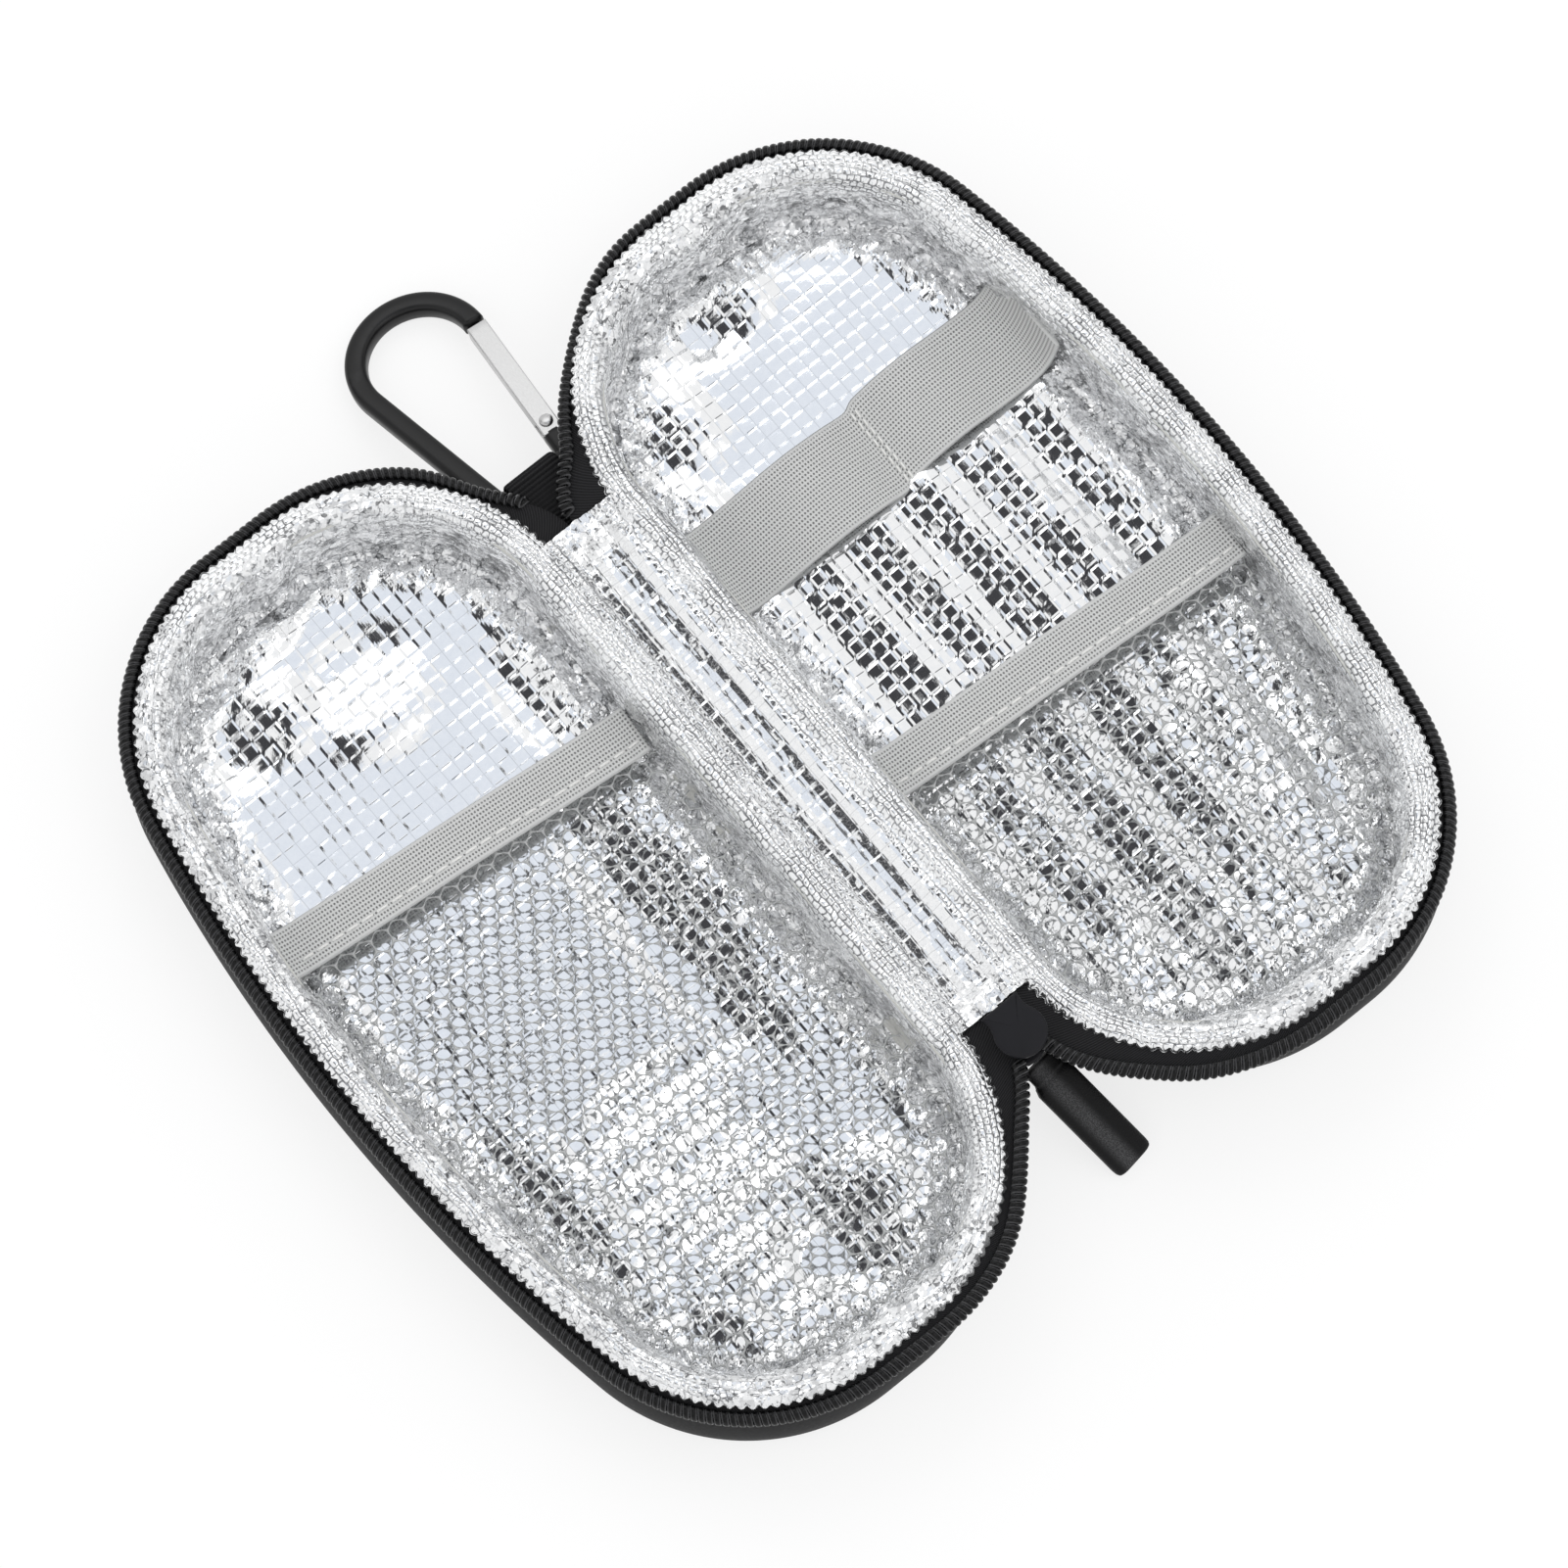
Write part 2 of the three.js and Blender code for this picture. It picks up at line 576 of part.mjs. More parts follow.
// Pull tab, drawn along -Y from the middle of its eye's bar, which lies inside the bail.
function pullGeometry() {
  const eyeHalf = BAIL_WIDTH / 2 + PULL_PLAY;
  const barHalf = PULL_EYE_BAR / 2;
  const neck = -barHalf - PULL_EYE_LENGTH;
  const eyeCorner = new THREE.Vector3(eyeHalf + PULL_RAIL, barHalf, barHalf);
  const eyePlate = box(new THREE.Vector3(-eyeCorner.x, neck - 2 * PULL_RAIL, -barHalf), eyeCorner);
  const window = box(
    new THREE.Vector3(-eyeHalf, neck, -PULL_EYE_BAR),
    new THREE.Vector3(eyeHalf, -barHalf, PULL_EYE_BAR),
  );
  const tabShape = new THREE.Shape();
  const side = PULL_WIDTH / 2 - PULL_CORNER;
  const near = neck - PULL_RAIL - PULL_CORNER;
  const far = PULL_CORNER - PULL_LENGTH;
  tabShape.moveTo(-side, near);
  tabShape.lineTo(-side, far);
  tabShape.lineTo(side, far);
  tabShape.lineTo(side, near);
  const tab = new THREE.ExtrudeGeometry(tabShape, {
    depth: PULL_THICKNESS - 2 * PULL_CORNER,
    bevelThickness: PULL_CORNER,
    bevelSize: PULL_CORNER,
    bevelSegments: 2,
  });
  tab.translate(0, 0, PULL_CORNER - PULL_THICKNESS / 2);
  return join(cut(eyePlate, window), tab);
}

// Slope at which something of a given length and half thickness hangs from a pivot onto the table.
function restingSlope(pivotHeight, length, halfThickness) {
  const reach = Math.hypot(length, halfThickness);
  return Math.asin(Math.min((pivotHeight - TABLE_GAP) / reach, 1)) - Math.atan(halfThickness / length);
}

function addSlider(group) {
  const slider = new THREE.Group();
  slider.position.set(0, -spineEnd - SLIDER_TO_SPINE, partingHeight);
  addPiece(slider, "slider_body", sliderGeometry(), FINISHES.castSlider);
  const pull = addPiece(slider, "slider_pull", pullGeometry(), FINISHES.pullTab);
  pull.position.set(0, pullPivot.x, pullPivot.y);
  pull.rotation.x = restingSlope(partingHeight + pullPivot.y, PULL_LENGTH, PULL_THICKNESS / 2);
  pull.rotation.z = THREE.MathUtils.degToRad(PULL_TURN_DEGREES);
  group.add(slider);
}

// Webbing loop at the spine's +Y end: its tail is sewn under the spine cloth, its eye holds the hook.
const loopTop = tapeBottom - SPINE_SAG - SEAM_GAP;
const eyeCentre = new THREE.Vector2(spineEnd + LOOP_REACH, loopTop - LOOP_DROP);
const eyeRadius = HOOK_ROD / 2 + SEAM_GAP;

function loopGeometry() {
  const outer = eyeRadius + WEBBING_THICKNESS;
  const tailBottom = loopTop - 2 * WEBBING_THICKNESS;
  const slope = -Math.atan2(LOOP_DROP, LOOP_REACH);
  const shape = new THREE.Shape();
  shape.moveTo(spineEnd - LOOP_TAIL, loopTop);
  shape.lineTo(spineEnd - LOOP_TAIL, tailBottom);
  shape.lineTo(spineEnd, tailBottom);
  shape.absarc(eyeCentre.x, eyeCentre.y, outer, slope - Math.PI / 2, slope + Math.PI / 2);
  shape.lineTo(spineEnd, loopTop);
  shape.holes.push(new THREE.Path().absarc(eyeCentre.x, eyeCentre.y, eyeRadius, 0, 2 * Math.PI));
  return extrudeAcross(shape, LOOP_WIDTH, 6);
}

// Snap hook, drawn flat with its narrow end on the origin and its length along +Y: a rod bent into a
// tapering D, open along its right limb, where the gate closes it.
const narrowHalf = (LOOP_WIDTH + HOOK_ROD) / 2 + LOOP_PLAY;
const wideHalf = HOOK_WIDE / 2;
const wideCentre = HOOK_LENGTH - wideHalf;
const taperReach = wideCentre - HOOK_BEND;
const taper =
  Math.asin(wideHalf / Math.hypot(taperReach, narrowHalf)) - Math.atan2(narrowHalf, taperReach);
const limbFoot = new THREE.Vector2(narrowHalf, HOOK_BEND);
const limbTop = new THREE.Vector2(
  wideHalf * Math.cos(taper),
  wideCentre - wideHalf * Math.sin(taper),
);
const limbWay = limbTop.clone().sub(limbFoot).normalize();
const gateHinge = limbFoot.clone().addScaledVector(limbWay, HINGE_UP);
const gateLength = gateHinge.distanceTo(limbTop);

function gateMatrix() {
  const matrix = new THREE.Matrix4().makeRotationZ(-taper);
  return matrix.setPosition(gateHinge.x, gateHinge.y, 0);
}

function pin(radius, height) {
  return new THREE.CylinderGeometry(radius, radius, height, PIN_SIDES).rotateX(Math.PI / 2);
}

function hookGeometry() {
  const rodStart = gateHinge.clone().addScaledVector(limbWay, -HINGE_UP / 2);
  const path = new THREE.Path();
  path.moveTo(rodStart.x, rodStart.y);
  path.lineTo(limbFoot.x, limbFoot.y);
  path.quadraticCurveTo(narrowHalf, 0, narrowHalf - HOOK_BEND, 0);
  path.lineTo(HOOK_BEND - narrowHalf, 0);
  path.quadraticCurveTo(-narrowHalf, 0, -limbFoot.x, limbFoot.y);
  path.lineTo(-limbTop.x, limbTop.y);
  path.absarc(0, wideCentre, wideHalf, Math.PI + taper, -taper, true);
  const points = path.getSpacedPoints(ROD_STEPS).map((point) => new THREE.Vector3(point.x, point.y, 0));
  const round = new THREE.Shape().absarc(0, 0, HOOK_ROD / 2, 0, 2 * Math.PI);
  const rod = new THREE.ExtrudeGeometry(round, {
    steps: ROD_STEPS,
    extrudePath: new THREE.CatmullRomCurve3(points),
    curveSegments: ROD_SIDES / 2,
  });
  const half = TANG_THICKNESS / 2;
  const tang = pin(TANG_RADIUS, TANG_THICKNESS);
  const neck = box(
    new THREE.Vector3(-TANG_RADIUS, -HINGE_UP / 2 - TANG_RADIUS, -half),
    new THREE.Vector3(TANG_RADIUS, 0, half),
  );
  const webFace = GATE_WIDTH / 2 - GATE_SHEET - SEAM_GAP;
  const tongue = box(
    new THREE.Vector3(-webFace, gateLength - TONGUE_LENGTH, -half),
    new THREE.Vector3(webFace, gateLength + TANG_RADIUS, half),
  );
  const ends = [tang, neck, tongue].map((geometry) => geometry.applyMatrix4(gateMatrix()));
  const hole = pin(RIVET_RADIUS + RIVET_CLEARANCE, HOOK_ROD).applyMatrix4(gateMatrix());
  return cut(join(rod, ...ends), hole);
}

// Stamped gate, drawn along +Y from its hinge: a channel whose web faces into the hook.
function gateGeometry() {
  const half = GATE_WIDTH / 2;
  const inner = TANG_THICKNESS / 2 + SEAM_GAP;
  const tip = gateLength - GATE_TIP_GAP;
  const cheek = new THREE.Shape();
  cheek.moveTo(half, 0);
  cheek.lineTo(half, tip);
  cheek.lineTo(-half, tip);
  cheek.lineTo(-half, 0);
  cheek.absarc(0, 0, half, Math.PI, 2 * Math.PI);
  const block = plate(cheek, -inner - GATE_SHEET, inner + GATE_SHEET);
  const channel = box(
    new THREE.Vector3(GATE_SHEET - half, -GATE_WIDTH, -inner),
    new THREE.Vector3(GATE_WIDTH, gateLength, inner),
  );
  const hingeRoom = box(
    new THREE.Vector3(-GATE_WIDTH, -GATE_WIDTH, -inner),
    new THREE.Vector3(GATE_WIDTH, half, inner),
  );
  const hole = pin(RIVET_RADIUS + RIVET_CLEARANCE, 2 * GATE_WIDTH);
  return cut(block, channel, hingeRoom, hole);
}

function rivetGeometry() {
  const cheekFace = TANG_THICKNESS / 2 + SEAM_GAP + GATE_SHEET;
  const under = cheekFace + SEAM_GAP;
  const over = under + RIVET_HEAD_HEIGHT;
  const profile = [
    [0, -over],
    [RIVET_HEAD_RADIUS, -over],
    [RIVET_HEAD_RADIUS, -under],
    [RIVET_RADIUS, -under],
    [RIVET_RADIUS, under],
    [RIVET_HEAD_RADIUS, under],
    [RIVET_HEAD_RADIUS, over],
    [0, over],
  ].map(([radius, height]) => new THREE.Vector2(radius, height));
  return new THREE.LatheGeometry(profile, PIN_SIDES).rotateX(Math.PI / 2);
}

function addHook(group) {
  const hook = new THREE.Group();
  hook.position.set(LOOP_X, eyeCentre.x, eyeCentre.y);
  hook.rotation.x = -Math.asin(Math.min((eyeCentre.y - HOOK_ROD / 2 - TABLE_GAP) / HOOK_LENGTH, 1));
  addPiece(hook, "carabiner_frame", hookGeometry(), FINISHES.blackAnodised);
  const gate = new THREE.Group();
  gate.position.set(gateHinge.x, gateHinge.y, 0);
  gate.rotation.z = -taper;
  addPiece(gate, "carabiner_gate", gateGeometry(), FINISHES.steel);
  addPiece(gate, "carabiner_rivet", rivetGeometry(), FINISHES.steel);
  const spring = new THREE.CylinderGeometry(SPRING_RADIUS, SPRING_RADIUS, SPRING_LENGTH, ROD_SIDES);
  const springX = GATE_SHEET - GATE_WIDTH / 2 + SEAM_GAP + SPRING_RADIUS;
  spring.translate(springX, GATE_WIDTH + SPRING_LENGTH / 2, 0);
  addPiece(gate, "carabiner_spring", spring, FINISHES.steel);
  hook.add(gate);
  group.add(hook);
}

// The whole case, set down so that the origin lies under the middle of its bounding box
const assembly = new THREE.Group();
const base = makeHalf("base", BASE_POCKET);
base.scale.x = -1;
const lid = makeHalf("lid", LID_POCKET);
addStrap(lid);
assembly.add(base, lid);
addSpine(assembly);
addSlider(assembly);
const loop = addPiece(assembly, "webbing_loop", loopGeometry(), FINISHES.webbing);
loop.position.x = LOOP_X;
addHook(assembly);
const bounds = new THREE.Box3().setFromObject(assembly, true);
const middle = bounds.getCenter(new THREE.Vector3());
assembly.position.set(-middle.x, -middle.y, -bounds.min.z);

const insulinCase = new THREE.Group();
insulinCase.add(assembly);
export default insulinCase;
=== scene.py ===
import bmesh
import bpy
import numpy as np
from mathutils import Matrix, Vector, kdtree, noise


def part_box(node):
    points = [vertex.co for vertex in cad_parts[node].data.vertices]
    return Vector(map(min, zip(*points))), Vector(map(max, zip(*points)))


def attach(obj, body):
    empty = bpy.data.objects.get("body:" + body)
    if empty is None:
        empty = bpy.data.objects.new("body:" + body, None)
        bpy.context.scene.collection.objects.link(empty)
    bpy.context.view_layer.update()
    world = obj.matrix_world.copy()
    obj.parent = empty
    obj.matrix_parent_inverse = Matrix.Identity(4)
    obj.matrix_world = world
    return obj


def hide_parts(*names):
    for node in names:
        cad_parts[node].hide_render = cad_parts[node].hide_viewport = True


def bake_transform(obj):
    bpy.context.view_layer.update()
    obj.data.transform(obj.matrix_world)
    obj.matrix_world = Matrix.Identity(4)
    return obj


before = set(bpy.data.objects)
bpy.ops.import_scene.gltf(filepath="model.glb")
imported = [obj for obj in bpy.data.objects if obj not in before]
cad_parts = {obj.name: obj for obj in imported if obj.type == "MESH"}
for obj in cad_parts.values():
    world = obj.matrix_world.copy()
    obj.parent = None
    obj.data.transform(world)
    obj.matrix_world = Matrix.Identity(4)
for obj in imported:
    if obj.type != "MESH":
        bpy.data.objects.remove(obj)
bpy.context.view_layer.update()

# Camera
# The open case lies on a table and is looked down on, a little from the end with the zip slider.
# A long lens about 1.5 m away draws both halves at nearly the same size.
shell_low, shell_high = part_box("base_shell")
spine_middle = (shell_low.y + shell_high.y) / 2
view_turn = np.radians(-39.4)
view_rise = np.radians(74.0)
view_distance = 1.5378
view_target = np.array([-0.0027, spine_middle - 0.0026, 0.025])
view_flat = np.array([np.sin(view_turn), -np.cos(view_turn), 0.0])
view_back = view_flat * np.cos(view_rise) + np.array([0.0, 0.0, np.sin(view_rise)])
view_right = np.array([np.cos(view_turn), np.sin(view_turn), 0.0])
view_frame = np.eye(4)
view_frame[:3, 0] = view_right
view_frame[:3, 1] = np.cross(view_back, view_right)
view_frame[:3, 2] = view_back
view_frame[:3, 3] = view_target + view_back * view_distance
camera_data = bpy.data.cameras.new("studio_camera")
camera_data.sensor_width = 36.0
camera_data.lens = 185.85
camera_data.clip_end = 30.0
camera = bpy.data.objects.new("studio_camera", camera_data)
camera.matrix_world = Matrix(view_frame.tolist())
bpy.context.scene.collection.objects.link(camera)
bpy.context.scene.camera = camera
bpy.context.scene.view_settings.view_transform = "Standard"


# Studio
# A white table stands in a white room. A pale blue card hangs where level foil mirrors it to the camera,
# with dark gaps beside it and dark doors around, so that tipped foil turns dark. A soft box stands beyond
# each end of the case.
class Wire:
    """One shader value: arithmetic on it adds Math nodes, and node() adds any other node."""

    def __init__(self, tree, socket=None):
        self.tree = tree
        self.socket = socket

    def node(self, kind, settings=None, inputs=None, output=0):
        made = self.tree.nodes.new("ShaderNode" + kind)
        for name, value in (settings or {}).items():
            if name == "stops":
                ramp = made.color_ramp.elements
                while len(ramp) < len(value):
                    ramp.new(1.0)
                for stop, (position, colour) in zip(ramp, value):
                    stop.position = position
                    stop.color = (*colour, 1.0)
            else:
                setattr(made, name, value)
        for name, value in (inputs or {}).items():
            if isinstance(value, Wire):
                self.tree.links.new(value.socket, made.inputs[name])
            else:
                made.inputs[name].default_value = value
        return Wire(self.tree, made.outputs[output] if made.outputs else None)

    def math(self, operation, *values):
        return self.node("Math", {"operation": operation}, dict(enumerate(values)))

    def through(self, operation, *values):
        return self.math(operation, self, *values)

    def __add__(self, other):
        return self.math("ADD", self, other)

    def __radd__(self, other):
        return self.math("ADD", other, self)

    def __sub__(self, other):
        return self.math("SUBTRACT", self, other)

    def __rsub__(self, other):
        return self.math("SUBTRACT", other, self)

    def __mul__(self, other):
        return self.math("MULTIPLY", self, other)

    def __rmul__(self, other):
        return self.math("MULTIPLY", other, self)

    def __truediv__(self, other):
        return self.math("DIVIDE", self, other)

    def __pow__(self, other):
        return self.math("POWER", self, other)


def mixed(share, first, second):
    """A colour that goes from the first to the second with the share."""
    sides = [side if isinstance(side, Wire) else (*side, 1.0) for side in (first, second)]
    return share.node("Mix", {"data_type": "RGBA"}, {0: share, 6: sides[0], 7: sides[1]}, output=2)


def ramped(value, low, high):
    """0 below low, 1 above high and smooth between them."""
    settings = {"interpolation_type": "SMOOTHSTEP"}
    return value.node("MapRange", settings, {"Value": value, "From Min": low, "From Max": high})


room_white = (0.94, 0.94, 0.94)
card_blue = (0.80, 0.84, 0.905)
room_dark = (0.055, 0.055, 0.060)
studio = bpy.data.worlds.new("studio")
studio.use_nodes = True
studio.node_tree.nodes.clear()
bpy.context.scene.world = studio
start = Wire(studio.node_tree)
way = start.node("TexCoord", output="Generated")


def toward(direction):
    """How nearly a ray of the room's light runs along a direction, from -1 to 1."""
    inputs = {0: way, 1: tuple(Vector(direction).normalized())}
    return start.node("VectorMath", {"operation": "DOT_PRODUCT"}, inputs, output="Value")


card_way = Vector((-view_back[0], -view_back[1], view_back[2]))
side_way = Vector((card_way.z, 0.0, -card_way.x))
sideways = toward(side_way)
endways = toward(card_way.cross(side_way)).through("ABSOLUTE")
level = (1 - ramped(endways, 0.19, 0.22)) * ramped(toward(card_way), 0.0, 0.1)
card = level * ramped(sideways, -0.205, -0.195) * (1 - ramped(sideways, 0.21, 0.22))
gap = level * ramped(sideways, -0.50, -0.46) * (1 - ramped(sideways, -0.235, -0.195))
gap = gap + level * ramped(sideways, 0.66, 0.68) * (1 - ramped(sideways, 0.80, 0.82))
door_blur = 1.2
doors = {
    (0.55, -0.72, 0.42): 11.0, (-0.5, 0.78, 0.36): 11.0, (0.9, 0.35, 0.18): 9.0, (-0.86, -0.45, 0.2): 9.0,
    tuple(view_back): 5.0,
}
for door_way, door_angle in doors.items():
    edge = np.cos(np.radians([door_angle + door_blur, door_angle - door_blur]))
    gap = gap + ramped(toward(door_way), *edge.tolist())
studio_glow = mixed(gap, mixed(card, room_white, card_blue), room_dark)
studio_light = start.node("Background", None, {"Color": studio_glow, "Strength": 1.0})
start.node("OutputWorld", None, {"Surface": studio_light})
soft_boxes = {
    "slider_end_box": ((0.30, -0.46, 1.50), (0.9, 0.5), 1.5),
    "hook_end_box": ((0.28, 0.91, 1.28), (1.1, 0.7), 2.65),
}
for box_name, (box_place, box_size, box_power) in soft_boxes.items():
    box_data = bpy.data.lights.new(box_name, "AREA")
    box_data.shape = "RECTANGLE"
    box_data.size, box_data.size_y = box_size
    box_data.energy = box_power
    box_lamp = bpy.data.objects.new(box_name, box_data)
    box_lamp.location = box_place
    box_lamp.rotation_euler = (-Vector(box_place)).to_track_quat("-Z", "Y").to_euler()
    bpy.context.scene.collection.objects.link(box_lamp)


def new_finish(name):
    """An empty material, and the wire that its nodes start from."""
    finish = bpy.data.materials.new(name)
    finish.use_nodes = True
    finish.node_tree.nodes.clear()
    return finish, Wire(finish.node_tree)


def close_finish(start, sockets):
    """Gives a material its one surface, with these values on the surface's sockets."""
    surface = start.node("BsdfPrincipled", None, sockets)
    start.node("OutputMaterial", None, {"Surface": surface})


table_reach = 3.0
table_mesh = bpy.data.meshes.new("studio_table")
table_signs = [(-1, -1), (1, -1), (1, 1), (-1, 1)]
table_corners = [(x * table_reach, y * table_reach, 0.0) for x, y in table_signs]
table_mesh.from_pydata(table_corners, [], [(0, 1, 2, 3)])
table_finish, start = new_finish("white table")
seen = start.node("LightPath", output="Is Camera Ray")
mirrored = start.node("LightPath", output="Is Glossy Ray")
passed = start.node("LightPath", output="Is Transmission Ray")
background = (seen + mirrored + passed).through("MINIMUM", 1.0)
close_finish(start, {
    "Base Color": (0.23, 0.23, 0.23, 1.0),
    "Roughness": 0.9,
    "Emission Color": mixed(background, (0, 0, 0), (0.78, 0.78, 0.78)),
    "Emission Strength": 1.0,
})
table_mesh.materials.append(table_finish)
table = bpy.data.objects.new("studio_table", table_mesh)
bpy.context.scene.collection.objects.link(table)

# Half shells
# Each half is a tray of black cloth pressed over stiff foam. Its wall bulges out below the rim, except
# along the spine, and turns into a flat bottom. The plan has large corners and a bowed outer side.
halves = {"base": -1, "lid": 1}
binding_low, binding_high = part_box("base_binding")
binding_overhang = 0.7
rim_length = (binding_high.y - binding_low.y) * 1000 - 2 * binding_overhang
rim_spine = -binding_high.x * 1000 + binding_overhang
rim_bow = 5.7
rim_outer = -binding_low.x * 1000 - binding_overhang - rim_bow
spine_corner = 39.0
outer_corner = 38.0
rim_height = shell_high.z * 1000
rim_round = 0.3
wall_bulge = 4.4
lining_bulge = 1.8
inside_depth = 5.8
bottom_radius = 9.0
shell_thickness = 2.0
tray_step = 1.2


def swollen_plan(swell):
    """Measures of a half's plan: the rim's own, with its curved side moved outwards by a swell."""
    long_half = rim_length / 2 + swell
    return rim_spine, rim_outer + swell, long_half, spine_corner + swell, outer_corner + swell, rim_bow


rim_plan = swollen_plan(0.0)


def unit_circle(turn):
    """Points at these angles on a circle of radius 1."""
    return np.column_stack([np.cos(turn), np.sin(turn)])


def half_outline(plan, step, closed=True):
    """Points and outward normals round one half, from the spine's near end to its far end and back."""
    spine, outer, half_length, spine_radius, outer_radius, bow = plan
    quarter = np.pi / 2
    spine_x = spine + spine_radius
    spine_y = half_length - spine_radius
    outer_x = outer - outer_radius
    outer_y = half_length - outer_radius
    swing = 2 * np.arctan(bow / outer_y)
    bow_x = outer_x - outer_y / np.tan(swing)
    bow_radius = outer_radius + outer_y / np.sin(swing)

    def arc(x, y, radius, first, last, length):
        normal = unit_circle(np.linspace(first, last, round(length / step), endpoint=False))
        return np.hstack([normal * radius + (x, y), normal])

    def straight(first, last, normal, length):
        share = np.linspace(0, 1, round(length / step), endpoint=False)[:, None]
        return np.hstack([np.array(first) * (1 - share) + np.array(last) * share, share * 0 + normal])

    corner_run = spine_corner * quarter
    end_run = rim_outer - outer_corner - rim_spine - spine_corner
    bend_run = outer_corner * (quarter - swing)
    bow_run = 2 * swing * (outer_corner + outer_y / np.sin(swing))
    spine_run = rim_length - 2 * spine_corner
    runs = [
        arc(spine_x, -spine_y, spine_radius, 2 * quarter, 3 * quarter, corner_run),
        straight((spine_x, -half_length), (outer_x, -half_length), (0, -1), end_run),
        arc(outer_x, -outer_y, outer_radius, -quarter, -swing, bend_run),
        arc(bow_x, 0, bow_radius, -swing, swing, bow_run),
        arc(outer_x, outer_y, outer_radius, swing, quarter, bend_run),
        straight((outer_x, half_length), (spine_x, half_length), (0, 1), end_run),
        arc(spine_x, spine_y, spine_radius, quarter, 2 * quarter, corner_run),
    ]
    if closed:
        runs.append(straight((spine, spine_y), (spine, -spine_y), (-1, 0), spine_run))
    else:
        runs.append(np.array([[spine, spine_y, -1.0, 0.0]]))
    whole = np.vstack(runs)
    return whole[:, :2], whole[:, 2:]


def ring(outline, inset, height):
    """The outline drawn inwards and lifted: one row of points."""
    points, normals = outline
    inset = np.broadcast_to(inset, len(points))
    return np.column_stack([points - inset[:, None] * normals, np.broadcast_to(height, len(points))])


def tray_rows(depth, top, wall_rows, bend_rows):
    """Rings of points down one layer's face, from just under its rim to its floor."""
    bulge = wall_bulge + (lining_bulge - wall_bulge) * depth / inside_depth
    radius = bottom_radius - depth
    rows = []
    for share in np.linspace(0, 1, wall_rows, endpoint=False):
        outline = half_outline(swollen_plan(bulge * (1 - (1 - share) ** 1.6)), tray_step)
        rows.append(ring(outline, depth, top + (bottom_radius - top) * share))
    outline = half_outline(swollen_plan(bulge), tray_step)
    for turn in np.linspace(0, np.pi / 2, bend_rows):
        inset = bottom_radius - radius * np.cos(turn)
        rows.append(ring(outline, inset, bottom_radius - radius * np.sin(turn)))
    return rows


def grid_faces(rows, columns, loop=False):
    """Quads of a sheet of points that are laid out row by row."""
    index = np.arange(rows * columns).reshape(rows, columns)
    if loop:
        index = np.column_stack([index, index[:, :1]])
    corners = [index[:-1, :-1], index[:-1, 1:], index[1:, 1:], index[1:, :-1]]
    return np.stack(corners, axis=-1).reshape(-1, 4).tolist()


def tube_faces(rows, around, flipped=False):
    """Quads between rings of points, and one face over each end."""
    faces = grid_faces(rows, around, loop=True)
    faces.append(list(range(around))[::-1])
    faces.append(list(range((rows - 1) * around, rows * around)))
    return [face[::-1] for face in faces] if flipped else faces


def lay_piece(name, points, faces, body, finish, side=1, cloth=None, marks=None, smooth=True):
    """One mesh piece from millimetres measured from the spine's middle, drawn on +X and riding on a body."""
    placed = np.asarray(points, dtype=float) * (0.001 * side, 0.001, 0.001) + (0, spine_middle, 0)
    mesh = bpy.data.meshes.new(name)
    mesh.from_pydata(placed.tolist(), [], [list(face)[::side] for face in faces])
    if smooth:
        mesh.shade_smooth()
    mesh.materials.append(finish)
    if cloth is not None:
        corner = np.empty(len(mesh.loops), dtype=np.int32)
        mesh.loops.foreach_get("vertex_index", corner)
        spread = np.asarray(cloth, dtype=np.float32)[corner]
        mesh.uv_layers.new(name="cloth").data.foreach_set("uv", spread.ravel())
    for mark, values in (marks or {}).items():
        values = np.asarray(values, dtype=np.float32)
        mesh.attributes.new(mark, "FLOAT", "POINT").data.foreach_set("value", values)
    piece = bpy.data.objects.new(name, mesh)
    bpy.context.scene.collection.objects.link(piece)
    if body:
        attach(piece, body)
    return piece


def tray_piece(half, layer, depth, thickness, top, finish):
    """A closed tray: up its outer face, over its rim, down its inner face, with both floors."""
    outline = half_outline(rim_plan, tray_step)
    rows = tray_rows(depth, top - rim_round, 9, 14)[::-1]
    rows += [ring(outline, inset, top) for inset in (depth + rim_round, depth + thickness - rim_round)]
    rows += tray_rows(depth + thickness, top - rim_round, 5, 10)
    faces = tube_faces(len(rows), len(outline[0]))
    name = f"{half}_{layer}_tray"
    piece = lay_piece(name, np.vstack(rows), faces, half, finish, halves[half])
    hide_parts(f"{half}_{layer}")
    return piece


def in_millimetres(start):
    """The place on a piece, in millimetres, as it lies when the case is open."""
    place = start.node("TexCoord", output="Object")
    return start.node("VectorMath", {"operation": "SCALE"}, {0: place, "Scale": 1000.0})


def speckle(place, scale, detail=2.0, roughness=0.5):
    """Even noise from 0 to 1, with so many features in each millimetre."""
    sockets = {"Vector": place, "Scale": scale, "Detail": detail, "Roughness": roughness}
    return place.node("TexNoise", None, sockets)


def dented(start, height, distance=0.001):
    """A normal from a height, which is in millimetres unless the distance says otherwise."""
    return start.node("Bump", None, {"Strength": 1.0, "Distance": distance, "Height": height})


def waves(value, pitch, shape="SINE"):
    """An even wave along a length in millimetres, one for each pitch."""
    return (value * (2 * np.pi / pitch)).through(shape)


